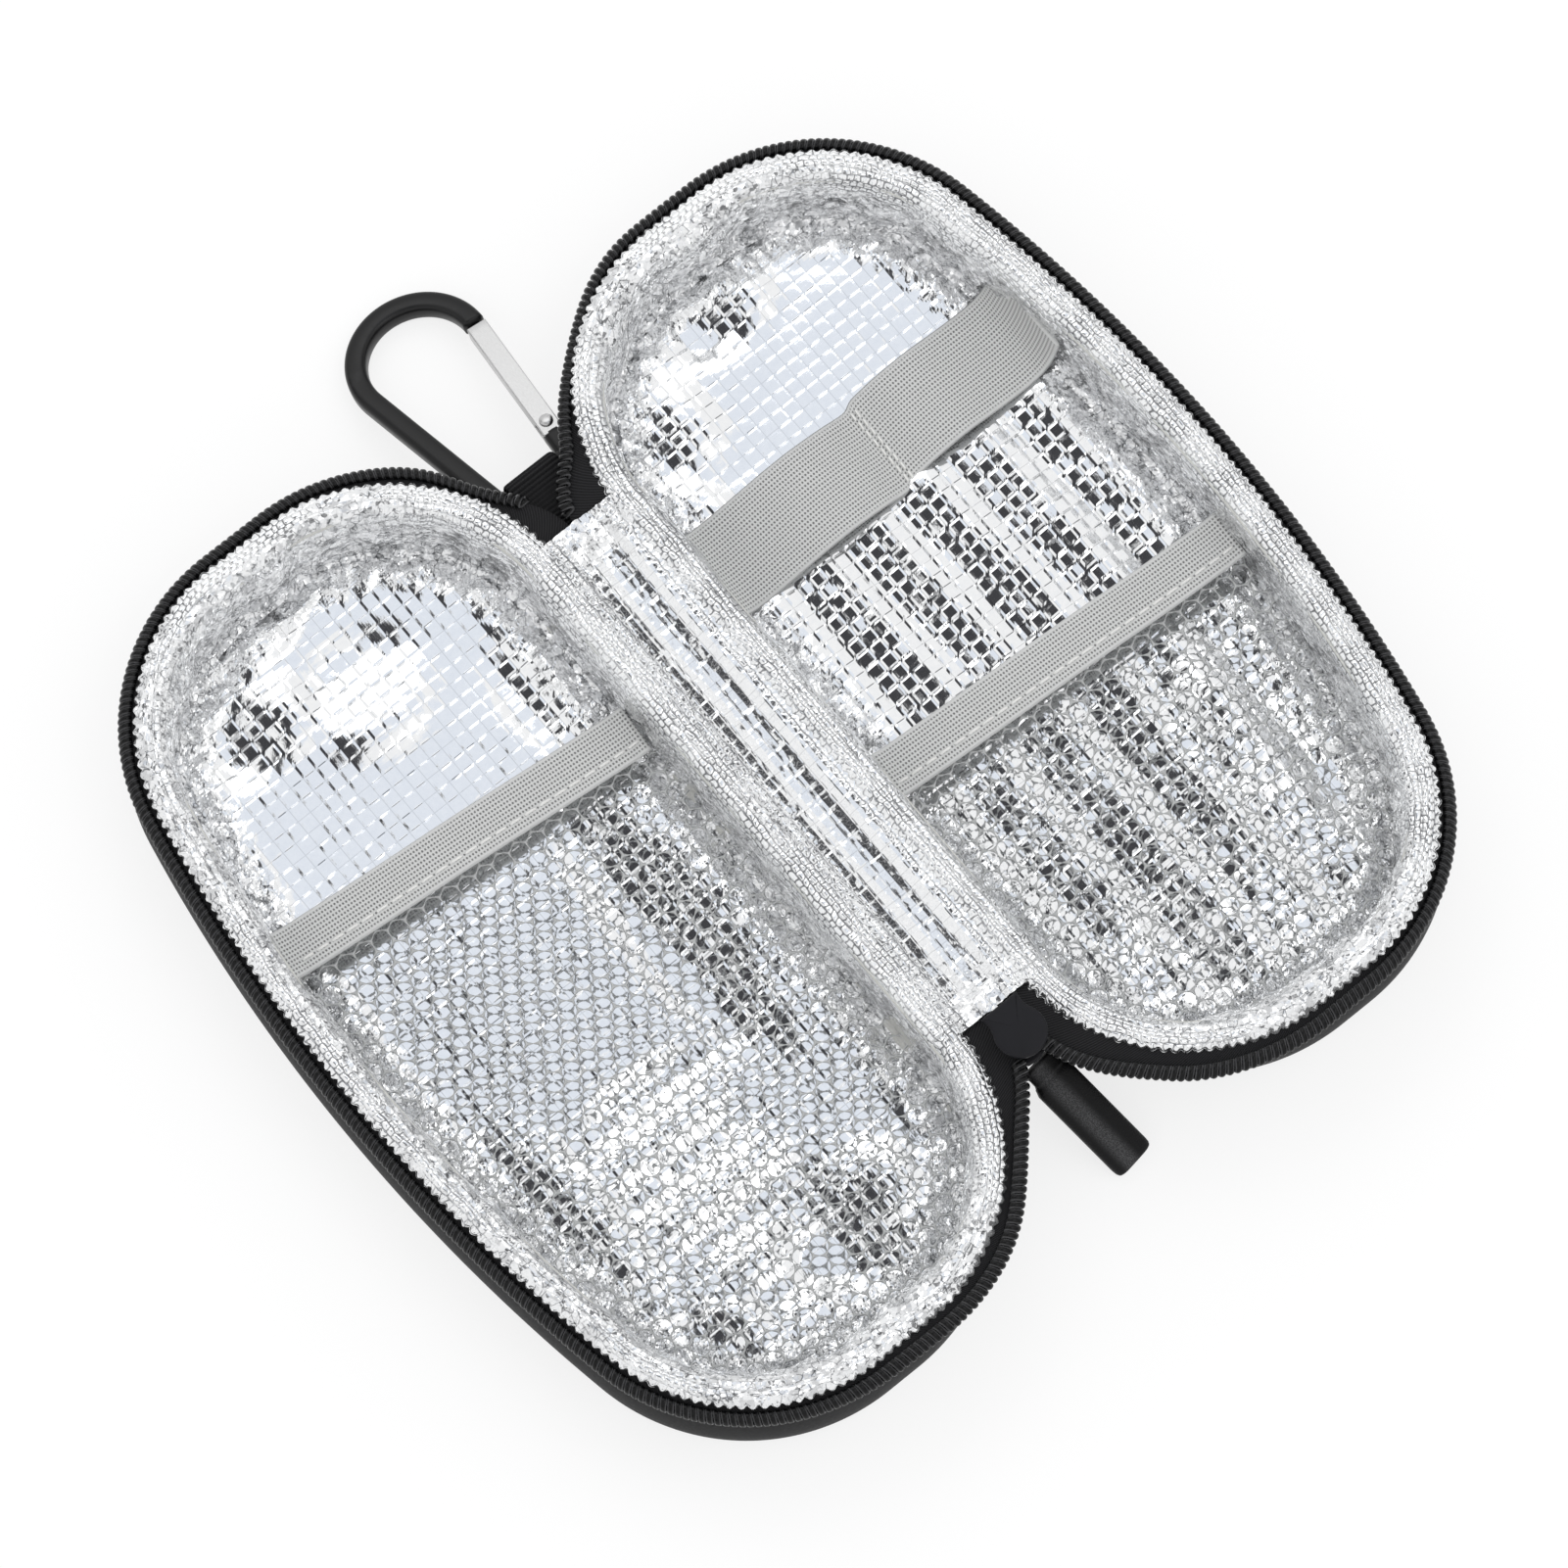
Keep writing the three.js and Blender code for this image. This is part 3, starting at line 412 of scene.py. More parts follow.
cloth_black = (0.006, 0.006, 0.0065)
cloth_worn = (0.014, 0.014, 0.015)
weave_pitch = 0.45
shell_finish, start = new_finish("pressed black cloth")
place = in_millimetres(start)
weave_x, weave_y, weave_z = (start.node("SeparateXYZ", None, {0: place}, output=axis) for axis in "XYZ")
weave = waves(weave_x + weave_z, weave_pitch) * waves(weave_y, weave_pitch)
fuzz = speckle(place, 1.6, 3.0)
close_finish(start, {
    "Base Color": mixed(fuzz * 0.6 + speckle(place, 0.05) * 0.4, cloth_black, cloth_worn),
    "Roughness": 0.42 + 0.2 * fuzz,
    "Normal": dented(start, weave * 0.012 + fuzz * 0.03),
    "Specular IOR Level": 0.14,
})
for half in halves:
    tray_piece(half, "shell", 0.0, shell_thickness, rim_height, shell_finish)

# Foam layers
# A thin tray of closed-cell foam lies inside each shell and keeps the cold in. Its rim ends just
# under the binding, so that almost nothing of it shows.
foam_depth = 2.3
foam_thickness = 2.4
foam_finish, start = new_finish("closed cell foam")
cells = start.node("TexVoronoi", None, {"Vector": in_millimetres(start), "Scale": 2.2})
close_finish(start, {
    "Base Color": mixed(cells, (0.74, 0.74, 0.71), (0.60, 0.60, 0.58)),
    "Roughness": 0.9,
    "Normal": dented(start, cells * 0.1),
})
for half in halves:
    foam_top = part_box(f"{half}_foam")[1].z * 1000
    foam = tray_piece(half, "foam", foam_depth, foam_thickness, foam_top, foam_finish)

# Foil linings
# Thin metallised foil with 3 mm squares pressed into it is glued to the foam. It lies fairly flat on
# the floor, is crushed into beads and folds up the walls, and is drawn over the rim under the binding.
quilt_pitch = 3.05
cell_steps = 6
floor_level = 5.45
floor_inset = 7.0
lining_section = np.array([
    (0.6, 25.75), (1.8, 26.1), (3.2, 26.0), (4.3, 25.0), (5.0, 22.8), (5.25, 19.5), (5.1, 15.5), (4.8, 11.5),
    (4.7, 9.2), (4.9, 7.5), (5.6, 6.2), (6.9, 5.5),
])
wave_pitch = 13.7
# Each tipped patch of a floor: its middle, its half width and half length, and its two slopes
tipped = {
    "base": [
        (31, -6, 11, 36, -0.20, 0.0), (60, -33, 16, 8, 0.0, -0.19), (60, -48, 17, 8, 0.0, -0.19),
        (58, -63, 15, 8, 0.0, -0.19), (88, -42, 10, 28, -0.21, 0.0), (43, -73, 14, 13, -0.21, 0.0),
        (61, -87, 11, 8, 0.0, 0.2), (79, -77, 10, 10, -0.21, 0.0), (50, 67, 13, 11, 0.0, -0.19),
        (71, 74, 11, 9, -0.21, -0.03), (23, 45, 8, 15, -0.19, 0.0), (66, 88, 12, 5, -0.24, -0.1),
    ],
    "lid": [
        (52, 83, 10, 7, 0.21, 0.04), (27, 70, 10, 11, 0.19, 0.0), (21, 50, 7, 11, 0.18, 0.05),
        (80, -52, 14, 20, -0.10, 0.12), (45, -75, 15, 13, 0.14, -0.08),
    ],
}
# Where each pocket's mouth crosses the middle of its half, and how much it slants
pockets = {"base": (30.0, 0.09), "lid": (-13.5, -0.055)}
pocket_middle = (rim_spine + rim_outer) / 2
outer_beads = {"base": 0.3, "lid": 1.0}
bead_pitch = 1.7
bead_row = 1.3
bead_stray = 1.9
foil_bright = (0.94, 0.945, 0.95)
foil_dull = (0.90, 0.91, 0.925)
foil_shade = (0.22, 0.225, 0.235)


def rumple(points, size, seed):
    """Smooth noise from about -1 to 1 with features of a size, at points in millimetres."""
    spots = np.asarray(points, dtype=float) / size + (seed * 7.31, seed * 3.17, seed * 5.77)
    return np.array([noise.noise(Vector(spot)) for spot in spots.tolist()])


def crease(points, size, seed):
    """Sharp ridges between flatter facets, from 0 to 1."""
    return 1 - np.minimum(1, 2.4 * np.abs(rumple(points, size, seed)))


def scattered(first, second, seed):
    """A steady random number from 0 to 1 for each cell."""
    value = np.sin(first * 12.9898 + second * 78.233 + seed * 37.719) * 43758.5453
    return value - np.floor(value)


def quilted(along, across, relief):
    """Heights of the pressed squares: low pillows, each tipped a little at random."""
    first = along / quilt_pitch + 1e-6
    second = across / quilt_pitch + 1e-6
    column = np.floor(first)
    row = np.floor(second)
    u = 2 * (first - column) - 1
    v = 2 * (second - row) - 1
    pillow = (0.042 + 0.075 * relief) * (1 - u**4) * (1 - v**4)
    turn = scattered(column, row, 1) * 2 * np.pi
    slope = (0.018 + 0.08 * relief) * scattered(column, row, 2) * quilt_pitch / 2
    tilt = u * np.cos(turn) + v * np.sin(turn)
    return pillow + slope * tilt * (1 - np.maximum(np.abs(u), np.abs(v)) ** 6)


def smooth_step(value, low, high):
    """For numbers: 0 below low, 1 above high and smooth between them."""
    share = np.clip((value - low) / (high - low), 0, 1)
    return share * share * (3 - 2 * share)


def run_of(points):
    """Lengths along a row of points."""
    return np.concatenate([[0], np.cumsum(np.linalg.norm(np.diff(points, axis=0), axis=1))])


def points_at(lengths, run, points):
    """Points at these lengths along a row of points, whose own lengths are the run."""
    return np.column_stack([np.interp(lengths, run, values) for values in np.transpose(points)])


def unit(vectors):
    """Vectors of the same directions, each of length 1."""
    return vectors / np.linalg.norm(vectors, axis=1)[:, None]


def heading(points):
    """Directions along a row of points."""
    return unit(np.gradient(points, axis=0))


def lining_wall(outline, seed, beads):
    """Rows of points down the crushed wall, their lengths along and down it, and how beaded each one is.

    The beads' strength on the half's outer side is given, and it is full along the spine.
    """
    drop_knots = run_of(lining_section)
    drop = np.linspace(0, drop_knots[-1], 50)
    section = points_at(drop, drop_knots, lining_section)
    way = heading(section)
    run = run_of(outline[0])
    along, down = np.meshgrid(run, drop)
    flat = np.column_stack([along.ravel(), down.ravel(), np.zeros(along.size)])
    at_end = np.tile(np.abs(outline[1][:, 1]) ** 1.5, len(drop))
    low = smooth_step(flat[:, 1], 12, 21)
    loose = rumple(flat * (1, 0.5, 1), 16.0, seed + 3)
    slack = np.clip(0.25 + 0.75 * at_end + 0.6 * loose + 0.4 * low, 0, 1.2) * smooth_step(flat[:, 1], 2, 8)
    lift = slack * (1.1 * crease(flat * (1, 0.7, 1), 9.0, seed) + 0.6 * crease(flat, 4.2, seed + 1))
    lift += (0.08 + 0.14 * slack) * rumple(flat, 1.7, seed + 2) + 0.5 * loose
    lift = np.maximum(lift, -0.1).reshape(along.shape) * (0.15 + 0.85 * smooth_step(drop, 1, 6)[:, None])
    rows = []
    for (inset, height), rise, (inward, upward) in zip(section, lift, way):
        rows.append(ring(outline, inset - rise * upward, height + rise * inward))
    facing = np.tile(outline[1][:, 0], len(drop))
    rowed = beads * smooth_step(facing + 0.5 * loose, 0.2, 0.6) + smooth_step(-facing, 0.5, 0.95)
    beaded = np.minimum(rowed, 1) * (1 - smooth_step(flat[:, 1], 6, 8.5))
    return rows, flat[:, :2], beaded


def inset_of(outline, spots):
    """How far inside an outline each spot lies, and the outward normal nearest to it."""
    points, normals = outline
    tree = kdtree.KDTree(len(points))
    for index, (x, y) in enumerate(points.tolist()):
        tree.insert((x, y, 0.0), index)
    tree.balance()
    nearest = np.array([tree.find((x, y, 0.0))[1] for x, y in np.asarray(spots).tolist()])
    return -np.sum((spots - points[nearest]) * normals[nearest], axis=1), normals[nearest]


def floor_lift(half, x, y, inset):
    """Height of the foil floor over its level: long waves, tipped patches and the pressed squares."""
    flat = np.column_stack([x, y, np.zeros(len(x))])
    mouth, slant = pockets[half]
    netted = 1 - smooth_step(y - mouth - slant * (x - pocket_middle), -9, 0)
    loose = 0.5 * rumple(flat, 26.0, 12) + 0.08 * rumple(flat, 9.0, 13)
    relief = 0.12 * netted
    for centre_x, centre_y, wide, deep, slope_x, slope_y in tipped[half]:
        near = np.exp(-((((x - centre_x) / wide) ** 2 + ((y - centre_y) / deep) ** 2) ** 2))
        loose += near * (slope_x * (x - centre_x) + slope_y * (y - centre_y))
        relief = relief + near
    if half == "lid":
        phase = (x - 27.0 + 2.0 * rumple(flat, 40.0, 11)) / wave_pitch
        share = phase - np.floor(phase)
        bay = smooth_step(y, -24, -14) * (1 - smooth_step(y, 30, 40))
        strength = 1.5 * bay * smooth_step(x, 18, 26) + 1.25 * netted * (1 - bay)
        loose += strength * np.minimum(share / 0.6, (1 - share) / 0.4)
        relief = relief + bay + 0.5 * netted
    relief = np.minimum(relief, 1)
    near_wall = 1 - smooth_step(inset, floor_inset, floor_inset + 9)
    folds = 1.1 * crease(flat, 7.0, 31) + 0.5 * crease(flat, 3.4, 33) + 0.15 * rumple(flat, 2.0, 32)
    free = smooth_step(inset, floor_inset - 0.2, floor_inset + 4)
    squares = quilted(x, y, relief) * smooth_step(inset, floor_inset, floor_inset + 1.5)
    return np.maximum(free * (loose + 1.0) + near_wall * folds + squares, 0)


def lining_floor(outline, half):
    """A grid of points in step with the pressed squares, and the quads that lie on the floor."""
    step = quilt_pitch / cell_steps
    columns = np.arange(np.ceil(rim_spine / step), (rim_outer + rim_bow) / step)
    rows = np.arange(np.ceil(-rim_length / 2 / step), rim_length / 2 / step)
    x, y = (side.ravel() * step for side in np.meshgrid(columns, rows))
    inset, _ = inset_of(outline, np.column_stack([x, y]))
    on_floor = inset > floor_inset
    quads = np.array(grid_faces(len(rows), len(columns)))
    quads = quads[on_floor[quads].all(axis=1)]
    used, packed = np.unique(quads, return_inverse=True)
    x, y, inset = x[used], y[used], inset[used]
    height = floor_level + floor_lift(half, x, y, inset)
    return np.column_stack([x, y, height]), packed.reshape(-1, 4)


def lining_mesh(half, seed):
    """Wall rows and floor grid, with the narrow gap between them filled by triangles."""
    outline = half_outline(rim_plan, 0.62)
    rows, wall_cloth, wall_beads = lining_wall(outline, seed, outer_beads[half])
    count = len(outline[0])
    floor_points, floor_quads = lining_floor(outline, half)
    wall_count = len(rows) * count
    points = np.vstack(rows + [floor_points])
    faces = grid_faces(len(rows), count, loop=True) + (floor_quads + wall_count).tolist()
    edges = np.sort(np.vstack([floor_quads[:, [i, (i + 1) % 4]] for i in range(4)]), axis=1)
    sides, uses = np.unique(edges, axis=0, return_counts=True)
    border = (sides[uses == 1] + wall_count).tolist()
    last = (len(rows) - 1) * count
    border += [[last + i, last + (i + 1) % count] for i in range(count)]
    gap = bmesh.new()
    corners = {}
    for edge in border:
        for index in edge:
            if index not in corners:
                corners[index] = gap.verts.new((points[index][0], points[index][1], 0.0))
    places = {vertex: index for index, vertex in corners.items()}
    sides = [gap.edges.new([corners[first], corners[second]]) for first, second in border]
    bmesh.ops.triangle_fill(gap, use_beauty=True, use_dissolve=False, edges=sides, normal=(0, 0, 1))
    for face in gap.faces:
        face.normal_update()
        corner = [places[vertex] for vertex in face.verts]
        faces.append(corner if face.normal.z > 0 else corner[::-1])
    gap.free()
    beaded = np.concatenate([wall_beads, np.zeros(len(floor_points))])
    inset, _ = inset_of(outline, floor_points[:, :2])
    by_wall = 1 - smooth_step(inset, floor_inset, floor_inset + 7)
    crushed = np.concatenate([1 - 0.85 * wall_beads, by_wall])
    cloth = np.vstack([wall_cloth, floor_points[:, :2]])
    return points, faces, cloth, {"beaded": beaded, "crushed": crushed}


def on_cloth(start):
    """Lengths along and across a piece's cloth, in millimetres."""
    spread = start.node("UVMap", {"uv_map": "cloth"})
    return [start.node("SeparateXYZ", None, {0: spread}, output=axis) for axis in "XY"]


def facets(place, scale, steepness):
    """Height of flat facets that are tipped at random, each about as wide as one over the scale."""
    cells = {"Vector": place, "Scale": scale}
    middle = place.node("TexVoronoi", None, cells, output="Position")
    tint = place.node("TexVoronoi", None, cells, output="Color")
    away = place.node("VectorMath", {"operation": "SUBTRACT"}, {0: place, 1: middle})
    slope = place.node("VectorMath", {"operation": "SUBTRACT"}, {0: tint, 1: (0.5, 0.5, 0.5)})
    height = place.node("VectorMath", {"operation": "DOT_PRODUCT"}, {0: away, 1: slope}, output="Value")
    return height * steepness


def tone_of(place, scale):
    """A random tone from 0 to 1 for each facet."""
    tint = place.node("TexVoronoi", None, {"Vector": place, "Scale": scale}, output="Color")
    return place.node("SeparateColor", None, {0: tint}, output="Red")


def speckle_colour(place, scale):
    """Even noise in three directions, from 0 to 1."""
    return place.node("TexNoise", None, {"Vector": place, "Scale": scale, "Detail": 2.0}, output="Color")


def dashes(along, across, share):
    """Short raised threads on the lines between squares: 1 on a thread, for a share of the squares."""
    first = along / quilt_pitch
    second = across / quilt_pitch + 0.5
    cell = first.node("CombineXYZ", None, {0: first.through("FLOOR"), 1: second.through("FLOOR")})
    chance = cell.node("TexWhiteNoise", None, {"Vector": cell}, output="Value")
    beside = (second.through("FRACT") - 0.5).through("ABSOLUTE")
    ahead = (first.through("FRACT") - 0.5).through("ABSOLUTE")
    thread = (1 - ramped(beside, 0.015, 0.05)) * (1 - ramped(ahead, 0.27, 0.32))
    return thread * (1 - ramped(chance, share, share + 0.01))


foil_finish, start = new_finish("quilted silver foil")
place = in_millimetres(start)
beaded, crushed = (
    start.node("Attribute", {"attribute_name": name}, output="Fac") for name in ("beaded", "crushed")
)
spread_u, spread_v = on_cloth(start)
bead_u = spread_u + speckle(place, 0.35) * bead_stray
bead_v = spread_v + speckle(place, 0.21) * bead_stray
bead_line = (bead_v / bead_row).through("FLOOR")
bead_shift = bead_line.through("MODULO", 2.0) * 0.5
bead_wave = ((bead_u / bead_pitch + bead_shift) * np.pi).through("SINE").through("ABSOLUTE")
bead_wave = bead_wave * ((bead_v / bead_row) * np.pi).through("SINE").through("ABSOLUTE")
bead_top = bead_wave**0.5
# Painted shade: the valleys between the beads are darkened in the foil's colour, more in some patches than in
# others.
valley = 1 - ramped(bead_top, 0.22, 0.62)
fine_crinkle = speckle(place, 0.9, 4.0, 0.6)
patchy = ramped(speckle(place, 0.12), 0.40, 0.60)
on_floor = (1 - beaded).through("MAXIMUM", 0.0) * (1 - crushed).through("MAXIMUM", 0.0)
# Painted shade: short dark dashes on the lines between squares, where a raised thread would turn away from
# the light.
dash_shade = dashes(spread_u + 7 * quilt_pitch, spread_v + 4 * quilt_pitch, 0.5) * on_floor
dash_shade = dash_shade * ramped(speckle(place, 0.05), 0.46, 0.54)
white_dash = dashes(spread_u, spread_v, 0.6) * on_floor * (1 - dash_shade)
# Painted shade: a faint dark line is painted along every groove between the pressed squares; the foil has no
# seams there.
groove_u, groove_v = ((axis / quilt_pitch).through("PINGPONG", 0.5) for axis in (spread_u, spread_v))
seam = (1 - ramped(groove_u.through("MINIMUM", groove_v), 0.015, 0.05)) * on_floor
foil_height = (facets(place, 0.33, 0.5) + facets(place, 1.1, 0.5)) * crushed + (fine_crinkle - 0.5) * 0.015
foil_height = foil_height + bead_top * beaded * 0.22 + white_dash * 0.035
# Painted shade on the crushed foil: each facet is darkened by a random amount, as if tipped away from the
# light, and thin dark lines are painted along its creases.
warped = place.node("VectorMath", {"operation": "ADD"}, {0: place, 1: speckle_colour(place, 0.4)})
facet_shade = tone_of(warped, 0.42) * 0.6 + tone_of(warped, 1.3) * 0.4
crease_far = warped.node("TexVoronoi", {"feature": "DISTANCE_TO_EDGE"}, {"Vector": warped, "Scale": 0.62})
creased = (1 - ramped(crease_far, 0.02, 0.07)) * ramped(speckle(place, 0.5), 0.48, 0.56)
facet_and_crease_shade = crushed * (ramped(facet_shade, 0.52, 0.74) * 0.36 + creased * 0.85)
# All of the foil's painted shade together: bead valleys, dark dashes, groove lines, and crushed facets and
# creases.
shaded = valley * beaded * (0.15 + 0.8 * patchy) + dash_shade * 0.8 + seam * 0.22 + facet_and_crease_shade
shaded = shaded.through("MINIMUM", 1.0)
foil_colour = mixed(ramped(fine_crinkle, 0.3, 0.7), foil_dull, foil_bright)
close_finish(start, {
    "Base Color": mixed(shaded, foil_colour, foil_shade),
    "Roughness": 0.05 + 0.04 * speckle(place, 0.25),
    "Metallic": 1 - 0.28 * crushed.through("MINIMUM", 1.0),
    "Normal": dented(start, foil_height),
})
for half, side in halves.items():
    points, faces, cloth, marks = lining_mesh(half, 3 + side)
    name = f"{half}_lining"
    lining = lay_piece(name, points, faces, half, foil_finish, side, cloth, marks, smooth=False)
    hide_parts(f"{half}_liner")

# Rim bindings
# A narrow folded strip of the same foil is sewn round each rim, over the zip tape. The needle has pulled
# it into rows of small beads, and its outer edge is scalloped where the stitches end.
scallop_pitch = 2.1
scallop_depth = 0.75
binding_section = np.array([
    (2.2, 25.6), (1.9, 26.2), (1.2, 26.5), (0.3, 26.45), (-0.5, 26.15), (-1.0, 25.7), (-1.1, 25.2),
])
for half, side in halves.items():
    outline = half_outline(rim_plan, 0.36)
    run = run_of(outline[0])
    reach = run_of(binding_section)
    across = np.linspace(0, reach[-1], 14)
    flat = np.column_stack([run, np.zeros(len(run)), np.full(len(run), 5.0 * side)])
    sway = 0.5 * rumple(flat, 14.0, 41) + 0.25 * rumple(flat, 4.0, 42)
    bulge = 0.2 * rumple(flat, 7.0, 43)
    rows = []
    for place_across, (inset, height) in zip(across, points_at(across, reach, binding_section)):
        edge = smooth_step(place_across, reach[-1] - 1.2, reach[-1])
        inner = 1 - smooth_step(place_across, 0, 2.0)
        scallop = scallop_depth * edge * np.abs(np.sin(np.pi * run / scallop_pitch))
        inset = inset + sway * (0.25 + 0.75 * inner) - scallop
        rows.append(ring(outline, inset, height + bulge * (0.3 + inner)))
    count = len(run)
    faces = [face[::-1] for face in grid_faces(len(rows), count, loop=True)]
    spine_near = smooth_step(-outline[1][:, 0], 0.5, 0.95)
    rowed = spine_near + outer_beads[half] * smooth_step(outline[1][:, 0], 0.3, 0.7)
    patch = smooth_step(rumple(flat, 22.0, 44) + 0.5 * rowed, -0.1, 0.35)
    marks = {"beaded": np.tile(patch, len(rows)), "crushed": np.tile(0.95 - 0.8 * patch, len(rows))}
    cloth = np.column_stack([np.tile(run, len(rows)), np.repeat(across, count)])
    name = f"{half}_rim_binding"
    binding = lay_piece(name, np.vstack(rows), faces, half, foil_finish, side, cloth, marks)
    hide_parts(f"{half}_binding")

# Zip tapes
# Black twill tape is sewn under each binding all round the curved side. It hangs outwards and down past
# the rim and carries the coil on its edge, but lies level at the spine and where the slider runs.
coil_reach = 4.2
zip_spine = 3.6
zip_plan = (zip_spine, *swollen_plan(coil_reach)[1:])
coil_level = 25.6
rest_lean = 10
hang_lean = 34
hang_drop = 2.1
hang_back = 0.75
tape_thickness = 0.4
tape_tuck = 3.0
tape_level = 25.05
hem_level = 25.15
tape_width = 9.0
twill_pitch = 0.62


def zip_fall(run):
    """How far the zip hangs at each length along it: 0 at the spine and where the slider runs, else 1."""
    return smooth_step(run, 72, 94) * smooth_step(run[-1] - run, 2, 26)


# Both ends of each zip: how far it is drawn outwards, between which lengths that fades away, and the
# height, middle and width of a bow beyond it
zip_ends = {
    "base": ((2.6, 8, 26, -1.2, 32, 11), (1.6, 4, 20, -1.3, 23, 9)),
    "lid": ((2.4, 14, 36, 0.7, 38, 14), (4.2, 5, 18, -2.3, 38, 17)),
}


def zip_way(half, step):
    """The coil's line and its outward normals: near both ends it leaves the rim and heads for the spine."""
    way, out = half_outline(zip_plan, step, closed=False)
    run = run_of(way)
    sway = np.zeros(len(run))
    for (drawn, first, last, lean, middle, wide), far in zip(zip_ends[half], (run, run[-1] - run)):
        sway += drawn * (1 - smooth_step(far, first, last)) + lean * np.exp(-(((far - middle) / wide) ** 2))
    return way + out * sway[:, None], out, run


def coil_middle(way, out, fall):
    """Middle line of a coil, and the directions across it and out of its face, as the tape hangs."""
    lean = np.radians(-rest_lean) - np.radians(hang_lean) * fall
    upward = np.array([0.0, 0.0, 1.0])
    outward = np.column_stack([out, np.zeros(len(out))])
    middle = np.column_stack([way, coil_level - hang_drop * fall]) - outward * (hang_back * fall)[:, None]
    leaning = outward * np.cos(lean)[:, None] + upward * np.sin(lean)[:, None]
    standing = upward * np.cos(lean)[:, None] - outward * np.sin(lean)[:, None]
    return middle, leaning, standing


tape_finish, start = new_finish("black twill tape")
spread_u, spread_v = on_cloth(start)
twill = waves(spread_u + spread_v, twill_pitch)
lint = speckle(in_millimetres(start), 3.0, 3.0)
close_finish(start, {
    "Base Color": mixed(ramped(twill + lint, 0.0, 1.6), (0.006, 0.006, 0.007), (0.020, 0.020, 0.022)),
    "Roughness": 0.75 + 0.15 * lint,
    "Normal": dented(start, twill * 0.05 + lint * 0.03),
    "Specular IOR Level": 0.3,
})
for half, side in halves.items():
    rim_way, rim_out = half_outline(rim_plan, 0.9, closed=False)
    coil_way, coil_out, run = zip_way(half, 0.9)
    middle, leaning, standing = coil_middle(coil_way, coil_out, zip_fall(run))
    tucked = np.column_stack([rim_way - tape_tuck * rim_out, np.full(len(run), tape_level)])
    hem = np.column_stack([rim_way + 0.5 * rim_out, np.full(len(run), hem_level)])
    edge = middle + 0.5 * leaning - 0.62 * standing
    upper = [tucked + (hem - tucked) * share for share in np.linspace(0, 1, 4, endpoint=False)]
    upper += [hem + (edge - hem) * share for share in np.linspace(0, 1, 8)]
    lower = [row - (0, 0, tape_thickness) for row in upper[::-1]]
    rows = np.array(upper + lower)
    loops = rows.transpose(1, 0, 2).reshape(-1, 3)
    around = rows.shape[0]
    faces = tube_faces(len(run), around, flipped=True)
    widths = np.linspace(0, tape_width, len(upper))
    across = np.concatenate([widths, widths[::-1]])
    cloth = np.column_stack([np.repeat(run, around), np.tile(across, len(run))])
    ribbon = lay_piece(f"{half}_zip_ribbon", loops, faces, half, tape_finish, side, cloth=cloth)
    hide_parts(f"{half}_zip_tape")

# Zip coils
# A thick nylon thread is wound into a flattened coil and sewn along each tape's edge: its turns are the
# teeth, and nearly touch. The two coils run into the slider at one end of the spine.
coil_pitch = 1.5
coil_half_width = 1.14
coil_half_height = 0.66
coil_wire = 0.44
wire_spread = 1.55
turn_steps = 14
coil_start = 12.6
coil_stop = {"base": 13.0, "lid": 5.0}
wire_sides = 10
coil_finish, start = new_finish("black nylon coil")
scuff = speckle(in_millimetres(start), 1.2, 3.0)
over_wire = on_cloth(start)[0]
# Painted highlight: both edges of each turn of the wire are lightened in the colour, broken up by scuff
# noise.
wear_and_edge_highlight = ramped(over_wire.through("ABSOLUTE"), 0.45, 0.9) * (0.4 + 0.6 * scuff)
close_finish(start, {
    "Base Color": mixed(wear_and_edge_highlight, (0.004, 0.004, 0.0045), (0.12, 0.12, 0.125)),
    "Roughness": 0.2 + 0.14 * scuff,
    "Normal": dented(start, scuff * 0.02),
    "Specular IOR Level": 0.2,
})
for half, side in halves.items():
    way, out, run = zip_way(half, 0.4)
    coil_length = run[-1] - coil_start - coil_stop[half]
    turns = int(coil_length / coil_pitch)
    steps = turns * turn_steps
    along = np.linspace(coil_start, coil_start + coil_length, steps + 1)
    turn = 2 * np.pi * np.arange(steps + 1) / turn_steps
    way = points_at(along, run, way)
    out = unit(points_at(along, run, out))
    middle, leaning, standing = coil_middle(way, out, np.interp(along, run, zip_fall(run)))
    wide = coil_half_width * np.cos(turn) + 0.1 * np.cos(2 * turn)
    tall = coil_half_height * np.sin(turn)
    thread = middle + leaning * wide[:, None] + standing * tall[:, None]
    tangent = heading(thread)
    forward = np.column_stack([-out[:, 1], out[:, 0], np.zeros(len(out))])
    first = unit(forward - tangent * np.sum(forward * tangent, axis=1)[:, None])
    second = np.cross(tangent, first)
    angles = 2 * np.pi * np.arange(wire_sides) / wire_sides
    spread = coil_wire * wire_spread * np.cos(angles)[:, None] * first[:, None]
    loops = thread[:, None] + spread + coil_wire * np.sin(angles)[:, None] * second[:, None]
    faces = tube_faces(steps + 1, wire_sides)
    cloth = np.column_stack([np.tile(np.cos(angles), steps + 1), np.repeat(wide, wire_sides)])
    points = loops.reshape(-1, 3)
    coil = lay_piece(f"{half}_coil_teeth", points, faces, half, coil_finish, side, cloth=cloth)
    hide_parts(f"{half}_zip_coil")

# Spine
# The halves are joined by a strip of black cloth that folds, with a strip of foil laid over it inside.
# The foil is creased along the fold and cut off roughly at both ends.
spine_half_length = rim_length / 2 - spine_corner
cloth_edge = 12.4
cloth_level = 24.62
cloth_sag = 2.35
cloth_thickness = 0.32
foil_edge = 8.9
foil_over_tape = 25.6


